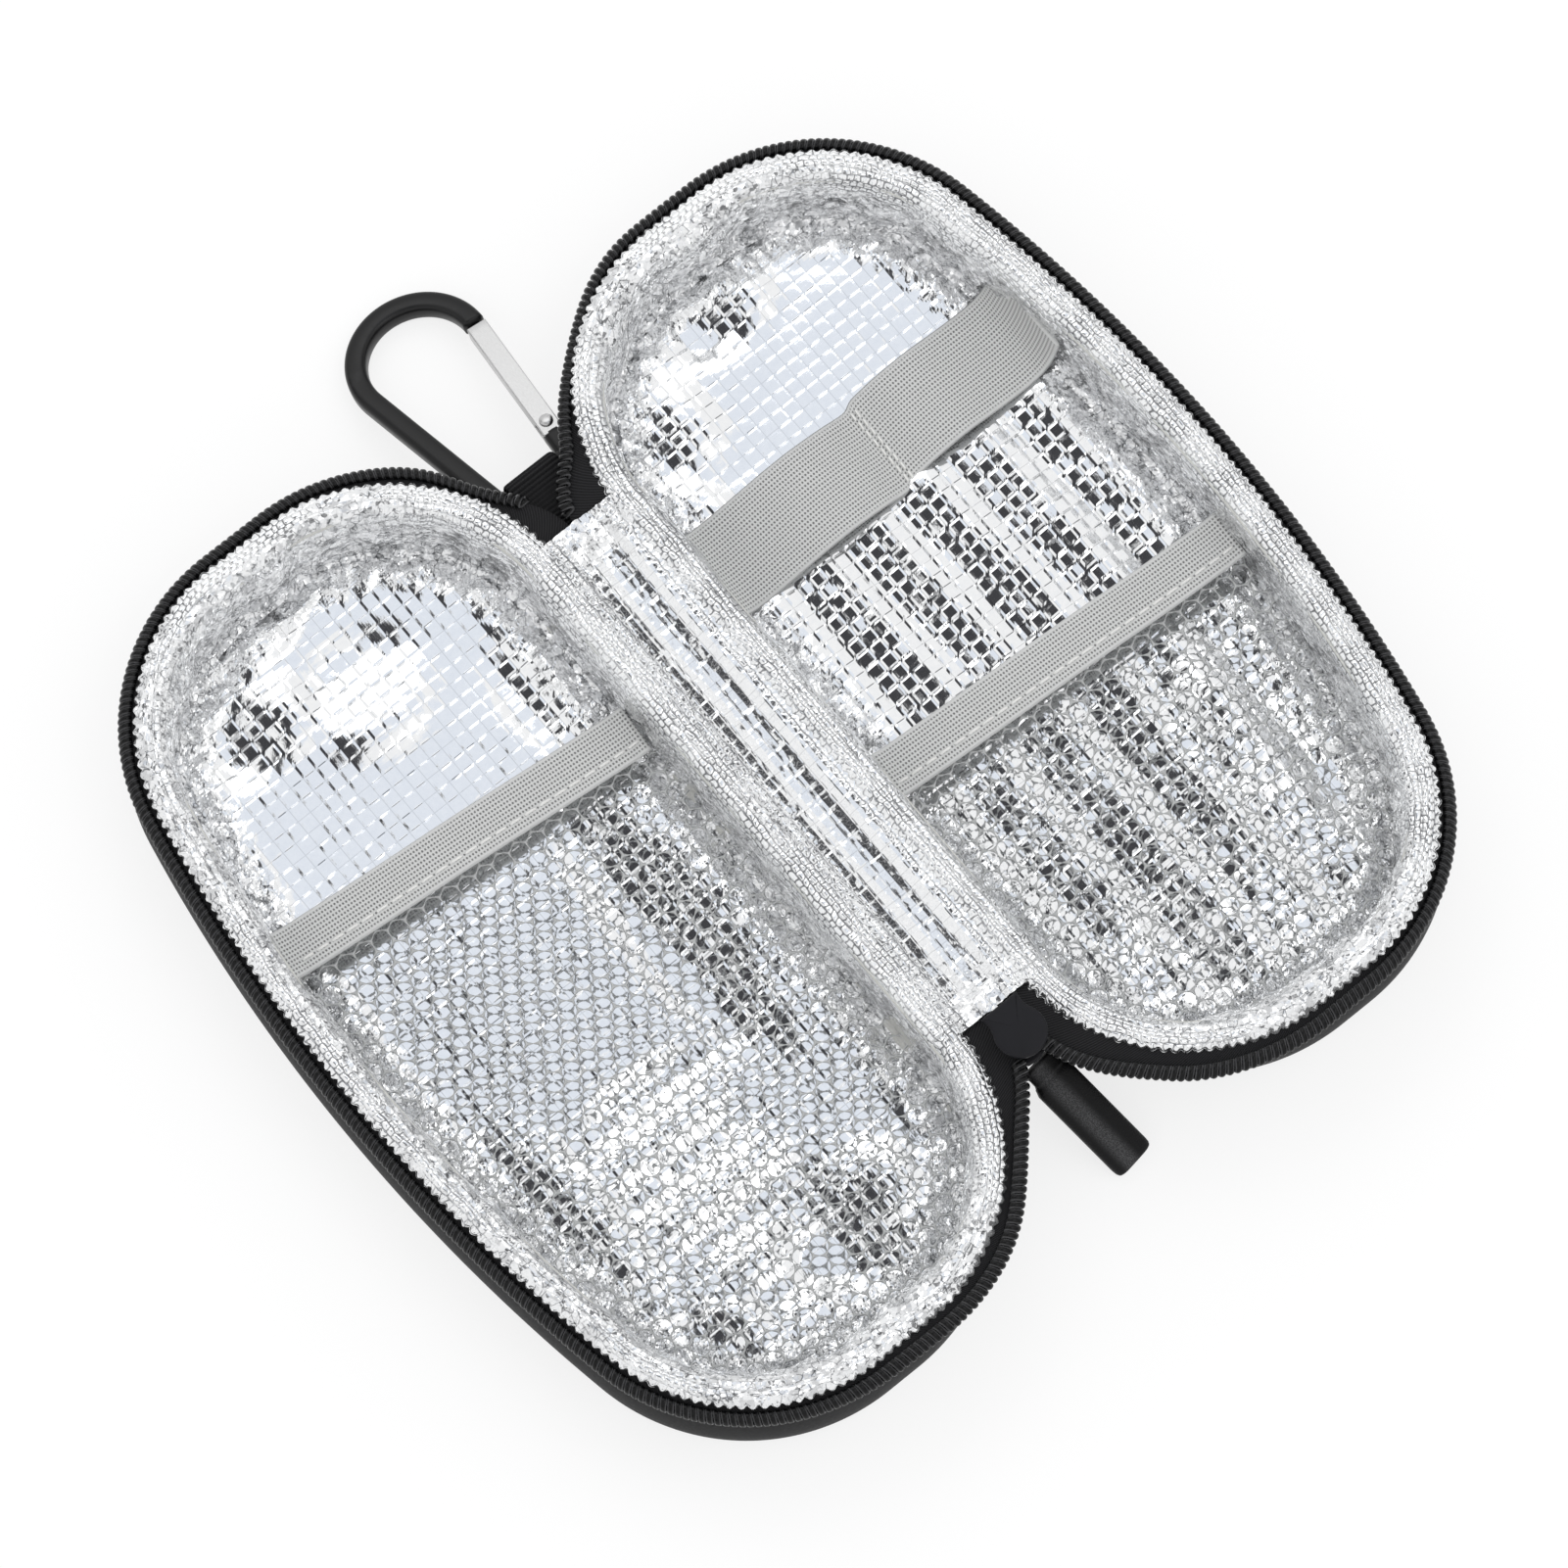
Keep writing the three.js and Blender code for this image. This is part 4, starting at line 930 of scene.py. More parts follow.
def sheet_solid(upper, thickness):
    """A thin closed sheet under a grid of points: the faces, and the points with the underside added."""
    rows, columns, _ = upper.shape
    count = rows * columns
    points = np.vstack([upper.reshape(-1, 3), upper.reshape(-1, 3) - (0, 0, thickness)])
    quads = np.array(grid_faces(rows, columns))
    faces = quads.tolist() + (quads[:, ::-1] + count).tolist()
    index = np.arange(count).reshape(rows, columns)
    border = np.concatenate([index[0, :-1], index[:-1, -1], index[-1, :0:-1], index[:0:-1, 0]])
    following = np.roll(border, -1)
    faces += np.column_stack([following, border, border + count, following + count]).tolist()
    return points, faces


strip_across = np.linspace(-cloth_edge, cloth_edge, 40)
strip_along = np.linspace(-spine_half_length + 0.3, spine_half_length + 4.5, 130)
x, y = np.meshgrid(strip_across, strip_along)
droop = cloth_sag * np.maximum(0, 1 - (x / rim_spine) ** 2)
strip = np.dstack([x, y, cloth_level - droop])
points, faces = sheet_solid(strip, cloth_thickness)
cloth = np.column_stack([points[:, 1], points[:, 0]])
spine_cloth = lay_piece("spine_cloth", points, faces, None, tape_finish, cloth=cloth)
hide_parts("spine_strip")
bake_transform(spine_cloth)

spine_knots = np.array([
    (-8.9, 25.35), (-7.0, 25.4), (-5.3, 24.4), (-3.7, 24.72), (-1.3, 24.0), (1.6, 24.1), (3.3, 24.5),
    (4.9, 25.45), (8.9, 25.4),
])
across, along = np.meshgrid(np.linspace(-1, 1, 76), np.linspace(-1, 1, 260))
flat = np.column_stack([across.ravel() * foil_edge, along.ravel() * 60, np.zeros(across.size)])
frayed = 0.3 * rumple(flat * (1, 0, 1) + (0, 9, 0), 1.3, 51)
frayed = frayed + 0.25 * rumple(flat * (1, 0, 1) + (0, 3, 0), 4.0, 52)
frayed = np.sign(along) * frayed.reshape(along.shape) * smooth_step(np.abs(along), 0.9, 1)
y = along * (spine_half_length + 2.7) + 0.7 + frayed
x = across * foil_edge
wander = (1.3 * rumple(flat * (0, 1, 0), 34.0, 53) + 0.3 * rumple(flat * (0, 1, 0), 9.0, 54)).reshape(x.shape)
wander = wander * (1 - across**2)
ends = smooth_step(np.abs(along), 0.72, 1)
crinkle = (0.05 + 0.30 * ends.ravel()) * crease(flat * (1, 0.5, 1), 4.0, 55) + 0.05 * rumple(flat, 1.6, 56)
squares = quilted(flat[:, 0], flat[:, 1], 0.6)
lift = (crinkle + squares).reshape(x.shape) * (1 - smooth_step(np.abs(across), 0.85, 1))
height = np.interp(x + wander, spine_knots[:, 0], spine_knots[:, 1])
over_tape = smooth_step(np.abs(y), spine_half_length - 5, spine_half_length - 0.5)
height = height + over_tape * np.maximum(foil_over_tape - height, 0) + lift
points = np.column_stack([x.ravel(), y.ravel(), height.ravel()])
row_near = np.exp(-(((x + 6.6) / 1.1) ** 2)) + np.exp(-(((x - 6.4) / 0.7) ** 2))
marks = {"beaded": np.minimum(1, row_near.ravel()), "crushed": 0.08 + 0.5 * ends.ravel()}
faces = grid_faces(*x.shape)
spine_foil = lay_piece(
    "spine_foil", points, faces, None, foil_finish, 1, points[:, 1::-1], marks, smooth=False,
)
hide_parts("spine_liner")
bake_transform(spine_foil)

# Net pockets
# Each half has a pocket of pale knitted net with roundish gaps. It is sewn along the wall and
# stretched over the floor, up to an elastic that is folded over its edge.
net_pitch = 3.95
net_row = 3.42
net_gap = 1.89
gap_corners = 12
net_crown = 0.14
net_level = 11.45
net_inset = 5.7
elastic_width = 10.5


def net_mesh(half):
    """Strands round every gap, with a raised middle line above and below."""
    mouth, slant = pockets[half]
    outline = half_outline(rim_plan, 0.8)
    swing = np.arctan(slant)
    turn = np.array([[np.cos(swing), np.sin(swing)], [-np.sin(swing), np.cos(swing)]])
    rows = np.arange(-60, 24)
    columns = np.arange(-30, 31)
    column, row = (side.ravel() for side in np.meshgrid(columns, rows))
    centres = np.column_stack([(column + 0.5 * (row % 2)) * net_pitch, row * net_row]) @ turn
    centres = centres + (pocket_middle, mouth - 4)
    inset, _ = inset_of(outline, centres)
    line = mouth + slant * (centres[:, 0] - pocket_middle)
    centres = centres[(inset > net_inset - 0.8) & (centres[:, 1] < line - 1.0)]
    spokes = unit_circle(2 * np.pi / gap_corners * np.arange(gap_corners) + swing)
    spoke_reach = np.where(np.arange(gap_corners) % 2 == 0, net_pitch / 2, net_pitch / np.sqrt(3))
    outer = (centres[:, None] + spokes * spoke_reach[:, None]).reshape(-1, 2)
    inner = (centres[:, None] + spokes * net_gap).reshape(-1, 2)
    spots = np.round(outer / 0.05).astype(int)
    _, first, shared, uses = np.unique(
        spots, axis=0, return_index=True, return_inverse=True, return_counts=True,
    )
    shared = shared.ravel()
    outer = outer[first]
    is_corner = first % 2 == 1
    inside = uses >= np.where(is_corner, 3, 2)
    flat = np.vstack([outer, inner])
    spots = np.column_stack([flat, np.zeros(len(flat))])
    flat = flat + 0.35 * np.column_stack([rumple(spots, 9.0, 61), rumple(spots, 9.0, 62)])
    inset, normal = inset_of(outline, flat)
    short = np.maximum(net_inset - inset, 0)
    flat = flat - short[:, None] * normal
    sag = 1.3 * smooth_step(inset, net_inset, net_inset + 16) * smooth_step(mouth - flat[:, 1], 2, 18)
    height = net_level - sag + 0.45 * rumple(spots, 16.0, 63) + np.minimum(short, 2.5) * 0.7
    crown = np.where(inside, net_crown, 0.02)
    count = len(outer)
    top = np.column_stack([flat[:count], height[:count] + crown])
    bottom = top - np.column_stack([np.zeros((count, 2)), 2 * crown])
    gap = np.column_stack([flat[count:], height[count:]])
    here = np.arange(len(centres) * gap_corners).reshape(-1, gap_corners)
    there = np.roll(here, -1, axis=1)
    upper = [shared[here], shared[there], there + 2 * count, here + 2 * count]
    lower = [shared[there] + count, shared[here] + count, here + 2 * count, there + 2 * count]
    quads = [np.stack(corners, axis=-1).reshape(-1, 4) for corners in (upper, lower)]
    return np.vstack([top, bottom, gap]), np.vstack(quads).tolist()


net_finish, start = new_finish("pale knitted net")
knit = speckle(in_millimetres(start), 5.0)
close_finish(start, {
    "Base Color": mixed(knit, (0.42, 0.43, 0.43), (0.62, 0.63, 0.63)),
    "Roughness": 0.5 + 0.2 * knit,
    "Normal": dented(start, knit * 0.06),
})
for half, side in halves.items():
    points, faces = net_mesh(half)
    net = lay_piece(f"{half}_net", points, faces, half, net_finish, side)
    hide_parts(f"{half}_pocket_net")
    low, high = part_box(f"{half}_pocket_net")

# Pocket elastics
# A grey woven elastic is folded over each net's edge and sewn down with one row of pale stitches.
# Its ends are caught in the wall's seam.
elastic_level = 12.75
elastic_thickness = 1.0
stitch_pitch = 3.4
stitch_length = 2.6
stitch_radius = 0.28
seam_inset = 2.8
elastic_pale = (0.66, 0.665, 0.66)
elastic_dark = (0.11, 0.11, 0.11)


def ribbon_mesh(path, across, up, width, thickness, seam=None):
    """A flat woven band along a path, with a groove under a seam: points, faces and lengths on the cloth."""
    place_across = np.linspace(-width / 2, width / 2, 35)
    swell = thickness / 2 * np.sqrt(np.maximum(0, 1 - np.abs(2 * place_across / width) ** 14))
    top = swell
    if seam is not None:
        top = swell - 0.14 * np.exp(-(((place_across - seam) / 0.3) ** 2)) * (swell > 0)
    section_across = np.concatenate([place_across, place_across[-2:0:-1]])
    section_up = np.concatenate([top, -swell[-2:0:-1]])
    loops = path[:, None] + section_across[:, None] * across[:, None] + section_up[:, None] * up[:, None]
    faces = tube_faces(len(path), len(section_across))
    along = np.repeat(run_of(path), len(section_across))
    cloth = np.column_stack([along, np.tile(section_across, len(path))])
    return loops.reshape(-1, 3), faces, cloth


def stitch_mesh(ends, ups, radius):
    """Separate stitches of thread, each a small bowed strand that dips at its two ends."""
    shares = np.array([0.0, 0.12, 0.35, 0.65, 0.88, 1.0])
    bow = np.array([-0.9, 0.25, 0.75, 0.75, 0.25, -0.9]) * radius
    sides = 8
    angles = 2 * np.pi * np.arange(sides) / sides
    points = []
    faces = []
    for (first, last), up in zip(ends, ups):
        way = (last - first) / np.linalg.norm(last - first)
        beside = np.cross(up, way)
        begin = len(points) * sides
        for share, rise in zip(shares, bow):
            centre = first + (last - first) * share + up * rise
            points.append(centre + radius * (np.cos(angles)[:, None] * beside + np.sin(angles)[:, None] * up))
        tube = tube_faces(len(shares), sides, flipped=True)
        faces += [[index + begin for index in face] for face in tube]
    return np.vstack(points), faces


def elastic_material(name, width):
    """Grey woven elastic with rows of dark dots, which leave its two edges plain."""
    finish, start = new_finish(name)
    along, across = on_cloth(start)
    pick = waves(along, 1.4, "COSINE") * waves(across, 1.7, "COSINE")
    inner = 1 - ramped(across.through("ABSOLUTE"), width / 2 - 1.1, width / 2 - 0.6)
    dots = ramped(pick.through("ABSOLUTE"), 0.45, 0.85) * inner
    fluff = speckle(in_millimetres(start), 2.5, 3.0)
    ribs = waves(across, 0.57, "COSINE")
    close_finish(start, {
        "Base Color": mixed(dots * (0.75 + 0.25 * fluff), elastic_pale, elastic_dark),
        "Roughness": 0.7 + 0.15 * fluff,
        "Normal": dented(start, ribs * 0.03 - dots * 0.06 + fluff * 0.03),
        "Specular IOR Level": 0.3,
    })
    return finish


thread_finish, start = new_finish("pale sewing thread")
twist = speckle(in_millimetres(start), 4.0)
close_finish(start, {
    "Base Color": mixed(twist, (0.80, 0.80, 0.78), (0.92, 0.92, 0.90)),
    "Roughness": 0.6,
    "Normal": dented(start, twist * 0.08),
})
elastic_finish = elastic_material("grey woven elastic", elastic_width)
up_axis = np.array([0.0, 0.0, 1.0])
for half, side in halves.items():
    mouth, slant = pockets[half]
    low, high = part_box(f"{half}_pocket_elastic")
    reach = sorted([abs(low.x) * 1000, abs(high.x) * 1000])
    x = np.linspace(reach[0] + 0.2, reach[1] - 0.2, 90)
    end_near = 1 - smooth_step(x, reach[0], reach[0] + 5)
    end_far = smooth_step(x, reach[1] - 6, reach[1])
    spots = np.column_stack([x, np.full(len(x), 9.0 * side), np.zeros(len(x))])
    level = elastic_level + 0.9 * end_near**2 + 1.2 * end_far**2 + 0.25 * rumple(spots, 18.0, 71)
    middle = mouth + slant * (x - pocket_middle) + 0.3 * rumple(spots, 25.0, 72)
    path = np.column_stack([x, middle, level])
    way = heading(path)
    across = unit(np.cross(up_axis, way))
    up = np.cross(way, across)
    seam = -elastic_width / 2 + seam_inset
    points, faces, cloth = ribbon_mesh(path, across, up, elastic_width, elastic_thickness, seam)
    name = f"{half}_elastic_band"
    band = lay_piece(name, points, faces, half, elastic_finish, side, cloth=cloth)
    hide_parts(f"{half}_pocket_elastic")
    run = run_of(path)
    firsts = np.arange(1.0, run[-1] - stitch_pitch, stitch_pitch)
    on_top = path + across * seam + up * (elastic_thickness / 2 - 0.1)
    ends = [points_at(lengths, run, on_top) for lengths in (firsts, firsts + stitch_length)]
    points, faces = stitch_mesh(np.stack(ends, axis=1), np.tile(up_axis, (len(firsts), 1)), stitch_radius)
    stitches = lay_piece(f"{half}_elastic_stitches", points, faces, half, thread_finish, side)
    band_size = (elastic_width / 1000, run[-1] / 1000)

# Pen strap
# A wide grey elastic crosses the lid. It climbs both walls and is sewn down once with a double row of
# thread, so that it makes two low loops for injection pens.
strap_y = 42.5
strap_width = 20.5
strap_thickness = 1.0
tack_x = rim_spine + 49.5
tack_radius = 0.24
tack_pitch = 2.3
tack_length = 1.8
tack_row = 0.55
strap_knots = np.array([
    (15.4, 10.4), (16.0, 8.9), (17.6, 7.7), (21.5, 7.4), (28.0, 8.6), (36.0, 10.2), (43.0, 10.6), (51.0, 9.2),
    (56.6, 7.0), (tack_x, 6.75), (60.6, 7.2), (65.5, 9.2), (73.0, 10.2), (81.0, 8.8), (88.0, 8.2),
    (92.2, 9.6), (94.2, 13.0), (95.2, 17.0), (95.6, 20.0),
])
knot_run = run_of(strap_knots)
rough_path = points_at(np.linspace(0, knot_run[-1], 160), knot_run, strap_knots)
window = np.hanning(15)
window /= window.sum()
spare = len(window) // 2
padded_path = np.pad(rough_path, ((spare, spare), (0, 0)), mode="edge")
eased = np.column_stack([np.convolve(padded_path[:, axis], window, mode="valid") for axis in (0, 1)])
pinch = 0.5 * np.exp(-(((eased[:, 0] - tack_x) / 1.6) ** 2))
slip = 0.7 * np.tanh((eased[:, 0] - tack_x) / 1.2)
path = np.column_stack([eased[:, 0], strap_y + slip, eased[:, 1] - 0.3 * pinch])
across = np.tile([0.0, 1.0, 0.0], (len(path), 1))
up = np.cross(heading(path), across)
strap_finish = elastic_material("wide grey elastic", strap_width)
points, faces, cloth = ribbon_mesh(path, across, up, strap_width, strap_thickness)
strap = lay_piece("lid_pen_strap", points, faces, "lid", strap_finish, cloth=cloth)
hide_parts("lid_strap")
tack_level = np.interp(tack_x, path[:, 0], path[:, 2]) + strap_thickness / 2 + 0.15
tack_starts = np.arange(strap_y - strap_width / 2 + 0.9, strap_y + strap_width / 2 - 2.2, tack_pitch)
ends = []
for row_x in (tack_x - tack_row, tack_x + tack_row):
    for first in tack_starts:
        ends.append([(row_x, first, tack_level), (row_x + 0.15, first + tack_length, tack_level)])
points, faces = stitch_mesh(np.array(ends), np.tile(up_axis, (len(ends), 1)), tack_radius)
tack = lay_piece("lid_strap_stitches", points, faces, "lid", thread_finish)
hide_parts("lid_strap_tack")

# Zip slider
# A die casting, painted black: two shield plates pass over and under the coils, a post stands between
# them at the rounded end, and a bail under the lower plate holds the pull tab.
slider_length = 11.6
slider_front = 5.2
slider_rear = 4.35
slider_waist = 3.6
plate_thickness = 1.3
plate_edge = 0.35
plate_crown = 0.12
post_half = 1.3
post_front = -10.3
post_back = -5.8
channel_half = 2.5
slider_y = -spine_half_length - 3.0
parting = 26.7
bail_length = 10.4
bail_width = 1.2
bail_thickness = 3.0
bail_sink = 0.7
bail_drop = 4.4
bail_bend = 1.2


def plump_plate(outline, bottom, top, edge, crown=0.0):
    """A closed plate with rounded edges, its top swelling towards the middle."""
    outline = np.asarray(outline, dtype=float)
    count = len(outline)
    after = unit(np.roll(outline, -1, axis=0) - outline)
    miter = unit(np.roll(after, 1, axis=0) + after)
    stretch = 1 / np.maximum(0.5, np.sum(miter * after, axis=1))
    inward = np.column_stack([-miter[:, 1], miter[:, 0]]) * stretch[:, None]
    middle = outline.mean(axis=0)
    turn = np.linspace(0, np.pi / 2, 5)
    rows = []
    for level, sign, angles in ((bottom, 1, turn[::-1]), (top, -1, turn)):
        for angle in angles:
            plan = outline + inward * edge * (1 - np.cos(angle))
            rows.append(np.column_stack([plan, np.full(count, level + sign * edge * (1 - np.sin(angle)))]))
    brim = outline + inward * edge
    for share in (0.05, 0.25, 0.5, 0.75, 0.92):
        swell = crown * (1 - (1 - share) ** 2)
        rows.append(np.column_stack([brim + (middle - brim) * share, np.full(count, top + swell)]))
    return np.vstack(rows), tube_faces(len(rows), count)


def joined(*parts):
    """Several closed meshes as one."""
    points = []
    faces = []
    for part_points, part_faces in parts:
        begin = sum(len(group) for group in points)
        points.append(part_points)
        faces += [[index + begin for index in face] for face in part_faces]
    return np.vstack(points), faces


def rod_mesh(path, width, thickness, facing, sides=16, squareness=2.0):
    """A bar of a rounded section swept along an open path; facing is the way that its thickness points."""
    path = np.asarray(path, dtype=float)
    way = heading(path)
    facing = np.broadcast_to(np.asarray(facing, dtype=float), path.shape)
    beside = unit(np.cross(way, facing))
    over = np.cross(beside, way)
    angles = 2 * np.pi * np.arange(sides) / sides
    wide = np.sign(np.cos(angles)) * np.abs(np.cos(angles)) ** (2 / squareness) * width / 2
    tall = np.sign(np.sin(angles)) * np.abs(np.sin(angles)) ** (2 / squareness) * thickness / 2
    rings = []
    inset = 0.12 * min(width, thickness)
    stations = [(0, 0.75, 0.0), (0, 0.94, inset)] + [(i, 1.0, 0.0) for i in range(1, len(path) - 1)]
    stations += [(len(path) - 1, 0.94, -inset), (len(path) - 1, 0.75, 0.0)]
    for index, shrink, shift in stations:
        centre = path[index] + way[index] * shift
        rings.append(centre + shrink * (wide[:, None] * beside[index] + tall[:, None] * over[index]))
    return np.vstack(rings), tube_faces(len(rings), sides)


shoulder_turn = np.radians(27)
front_turn = np.linspace(np.pi - shoulder_turn, 2 * np.pi + shoulder_turn, 52)
shield_front = unit_circle(front_turn) * slider_front + (0, slider_front - slider_length)
share = np.linspace(0, 1, 12)[1:, None]
shoulder = (1 - share) ** 2 * shield_front[-1] + share**2 * (slider_rear, 0)
shoulder = shoulder + 2 * share * (1 - share) * (slider_waist, shield_front[-1, 1] / 2)
rear = np.column_stack([np.linspace(slider_rear, -slider_rear, 12)[1:-1], np.zeros(10)])
shield = np.vstack([shield_front, shoulder, rear, shoulder[::-1] * (-1, 1)])
shield = shield + (0, slider_y)
plate_face = channel_half + plate_thickness
upper_plate = plump_plate(shield, parting + channel_half, parting + plate_face, plate_edge, plate_crown)
lower_plate = plump_plate(shield, parting - plate_face, parting - channel_half, plate_edge)
post_outline = np.array([
    (-post_half, post_front), (post_half, post_front), (post_half, post_back), (-post_half, post_back),
]) + (0, slider_y)
post = plump_plate(post_outline, parting - channel_half - 0.6, parting + channel_half + 0.6, 0.25)
bail_front = slider_y - (slider_length + bail_length) / 2 + bail_width / 2
bail_back = bail_front + bail_length - bail_width
bail_top = parting - channel_half - bail_sink
bail_low = parting - plate_face - bail_drop + bail_width / 2
bail_curve = bail_bend - bail_bend * unit_circle(np.linspace(0.2, np.pi / 2, 6))
bail_path = [(bail_front, bail_top), (bail_front, bail_low + bail_bend)]
bail_path += (bail_curve + (bail_front, bail_low)).tolist()
bail_path += (bail_curve[::-1] * (-1, 1) + (bail_back, bail_low)).tolist()
bail_path += [(bail_back, bail_low + bail_bend), (bail_back, bail_top)]
bail_path = np.column_stack([np.zeros(len(bail_path)), bail_path])
bail = rod_mesh(bail_path, bail_width, bail_thickness, (1.0, 0.0, 0.0), 16, 3.5)
slider_finish, start = new_finish("black painted casting")
place = in_millimetres(start)
orange_peel = speckle(place, 1.1)
close_finish(start, {
    "Base Color": mixed(speckle(place, 0.2), (0.008, 0.008, 0.010), (0.013, 0.013, 0.016)),
    "Roughness": 0.34 + 0.10 * orange_peel,
    "Normal": dented(start, orange_peel * 0.02),
    "Specular IOR Level": 0.17,
})
points, faces = joined(upper_plate, lower_plate, post, bail)
slider = lay_piece("slider_casting", points, faces, "slider", slider_finish)
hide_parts("slider_body")

# Pull tab
# A moulded black plastic bar with a fine grain hangs from the bail by a small eye and rests on the
# table. Its upper face is rounded across, and two ridges mark where the neck meets the bar.
pull_pivot = np.array([0.0, slider_y - 8.0, 21.3])
pull_turn = np.radians(10)
pull_slope = np.radians(36.1)
pull_half = 4.5
pull_thick = 3.4


def pull_bar():
    """The bar, along -Y from the eye: rounded corners, a full face across and a flat back."""
    stations = np.array([
        (-3.9, 0.74, 0.50), (-4.3, 0.80, 0.60), (-6.6, 0.80, 0.64), (-6.8, 0.80, 0.78), (-7.3, 0.80, 0.78),
        (-7.5, 0.82, 0.66), (-7.9, 0.86, 0.68), (-8.2, 0.90, 0.88), (-8.8, 0.94, 0.92), (-9.6, 1.0, 1.0),
        (-12.0, 1.0, 1.0), (-20.0, 1.0, 1.0), (-28.0, 1.0, 1.0), (-31.7, 1.0, 1.0), (-32.6, 0.985, 0.97),
        (-33.1, 0.94, 0.88), (-33.3, 0.88, 0.72),
    ])
    sides = 36
    angles = 2 * np.pi * np.arange(sides) / sides
    wide = np.sign(np.cos(angles)) * np.abs(np.cos(angles)) ** 0.42
    tall = np.sign(np.sin(angles)) * np.abs(np.sin(angles)) ** np.where(np.sin(angles) > 0, 0.85, 0.4)
    rows = []
    for y, broad, thick in stations:
        height = tall * pull_thick / 2 * thick
        rows.append(np.column_stack([wide * pull_half * broad, np.full(sides, y), height]))
    return np.vstack(rows), tube_faces(len(rows), sides, flipped=True)


def hung(points, slope, pivot):
    """Points drawn along Y from a pivot, turned about X by a slope and moved to the pivot."""
    cosine = np.cos(slope)
    sine = np.sin(slope)
    y = points[:, 1] * cosine - points[:, 2] * sine
    z = points[:, 1] * sine + points[:, 2] * cosine
    return np.column_stack([points[:, 0], y, z]) + pivot


eye_path = np.array([
    (3.1, -5.4, 0), (3.1, -1.2, 0), (2.75, -0.35, 0), (2.0, 0, 0), (-2.0, 0, 0), (-2.75, -0.35, 0),
    (-3.1, -1.2, 0), (-3.1, -5.4, 0),
])
eye = rod_mesh(eye_path, 1.3, 1.5, (0.0, 0.0, 1.0), 14, 2.6)
pull_finish, start = new_finish("grained black plastic")
place = in_millimetres(start)
beside = on_cloth(start)[0]
grain = speckle(place, 4.5, 3.0)
pits = start.node("TexVoronoi", None, {"Vector": place, "Scale": 3.2})
# Painted highlight: a lighter grainy stripe runs lengthwise just off the middle of the bar's rounded face.
painted_sheen_stripe = 1 - ramped((beside + 0.9).through("ABSOLUTE"), 0.3, 2.6)
painted_sheen_stripe = painted_sheen_stripe * (0.35 + 0.65 * ramped(grain, 0.42, 0.60))
close_finish(start, {
    "Base Color": mixed(painted_sheen_stripe, (0.006, 0.006, 0.0065), (0.09, 0.09, 0.093)),
    "Roughness": 0.40 + 0.15 * grain,
    "Normal": dented(start, grain * 0.06 + pits * 0.05),
    "Specular IOR Level": 0.16,
})
points, faces = joined(pull_bar(), eye)
cosine = np.cos(pull_turn)
sine = np.sin(pull_turn)
turned = points @ np.array([(cosine, sine, 0), (-sine, cosine, 0), (0, 0, 1)])
hanging = hung(turned, pull_slope, pull_pivot)
pull = lay_piece("pull_tab", hanging, faces, "pull", pull_finish, cloth=points[:, :2])
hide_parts("slider_pull")

# Webbing loop
# A short length of black ribbed webbing is sewn under the spine's far end. It is folded round the
# snap hook's narrow end and both its layers run back under the cloth.
loop_x = 0.5
loop_half = 6.0
loop_reach = 16.5
loop_drop = 6.0
eye_y = spine_half_length + loop_reach
eye_z = 16.0
eye_radius = 3.03
tail_y = spine_half_length - 4.6
tail_upper = 21.4
tail_lower = 20.5
rib_pitch = 1.05
webbing_thickness = 0.85
lead_slope = np.arctan2(loop_drop, loop_reach)
turn = np.linspace(np.pi / 2 - lead_slope, -np.pi / 2 - lead_slope, 24)
loop_path = np.vstack([
    [(tail_y, tail_upper), (spine_half_length - 1.5, tail_upper)],
    [(spine_half_length + 1.5, tail_upper - 0.4)],
    (eye_y, eye_z) + eye_radius * unit_circle(turn),
    [(spine_half_length + 1.0, tail_lower - 0.6)],
    [(spine_half_length - 1.5, tail_lower), (tail_y, tail_lower)],
])
run = run_of(loop_path)
fine = np.linspace(0, run[-1], 260)
path = np.column_stack([np.full(len(fine), loop_x), points_at(fine, run, loop_path)])
across = np.tile([-1.0, 0.0, 0.0], (len(path), 1))
up = np.cross(heading(path), across)
rib = 0.10 * np.sin(2 * np.pi * fine / rib_pitch)
ribbed = path + up * rib[:, None]
points, faces, cloth = ribbon_mesh(ribbed, across, up, 2 * loop_half, webbing_thickness)
webbing_finish, start = new_finish("black ribbed webbing")
along, sideways = on_cloth(start)
ribs = waves(along, rib_pitch)
lint = speckle(in_millimetres(start), 3.0, 3.0)
close_finish(start, {
    "Base Color": mixed(ramped(ribs + lint, 0.0, 1.6), (0.005, 0.005, 0.006), (0.018, 0.018, 0.019)),
    "Roughness": 0.8 + 0.1 * lint,
    "Normal": dented(start, ribs * 0.06 + waves(sideways, 0.5) * 0.03 + lint * 0.04),
    "Specular IOR Level": 0.3,
})
webbing = lay_piece("hook_webbing", points, faces, "base", webbing_finish, cloth=cloth)
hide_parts("webbing_loop")
run[-1] / 1000

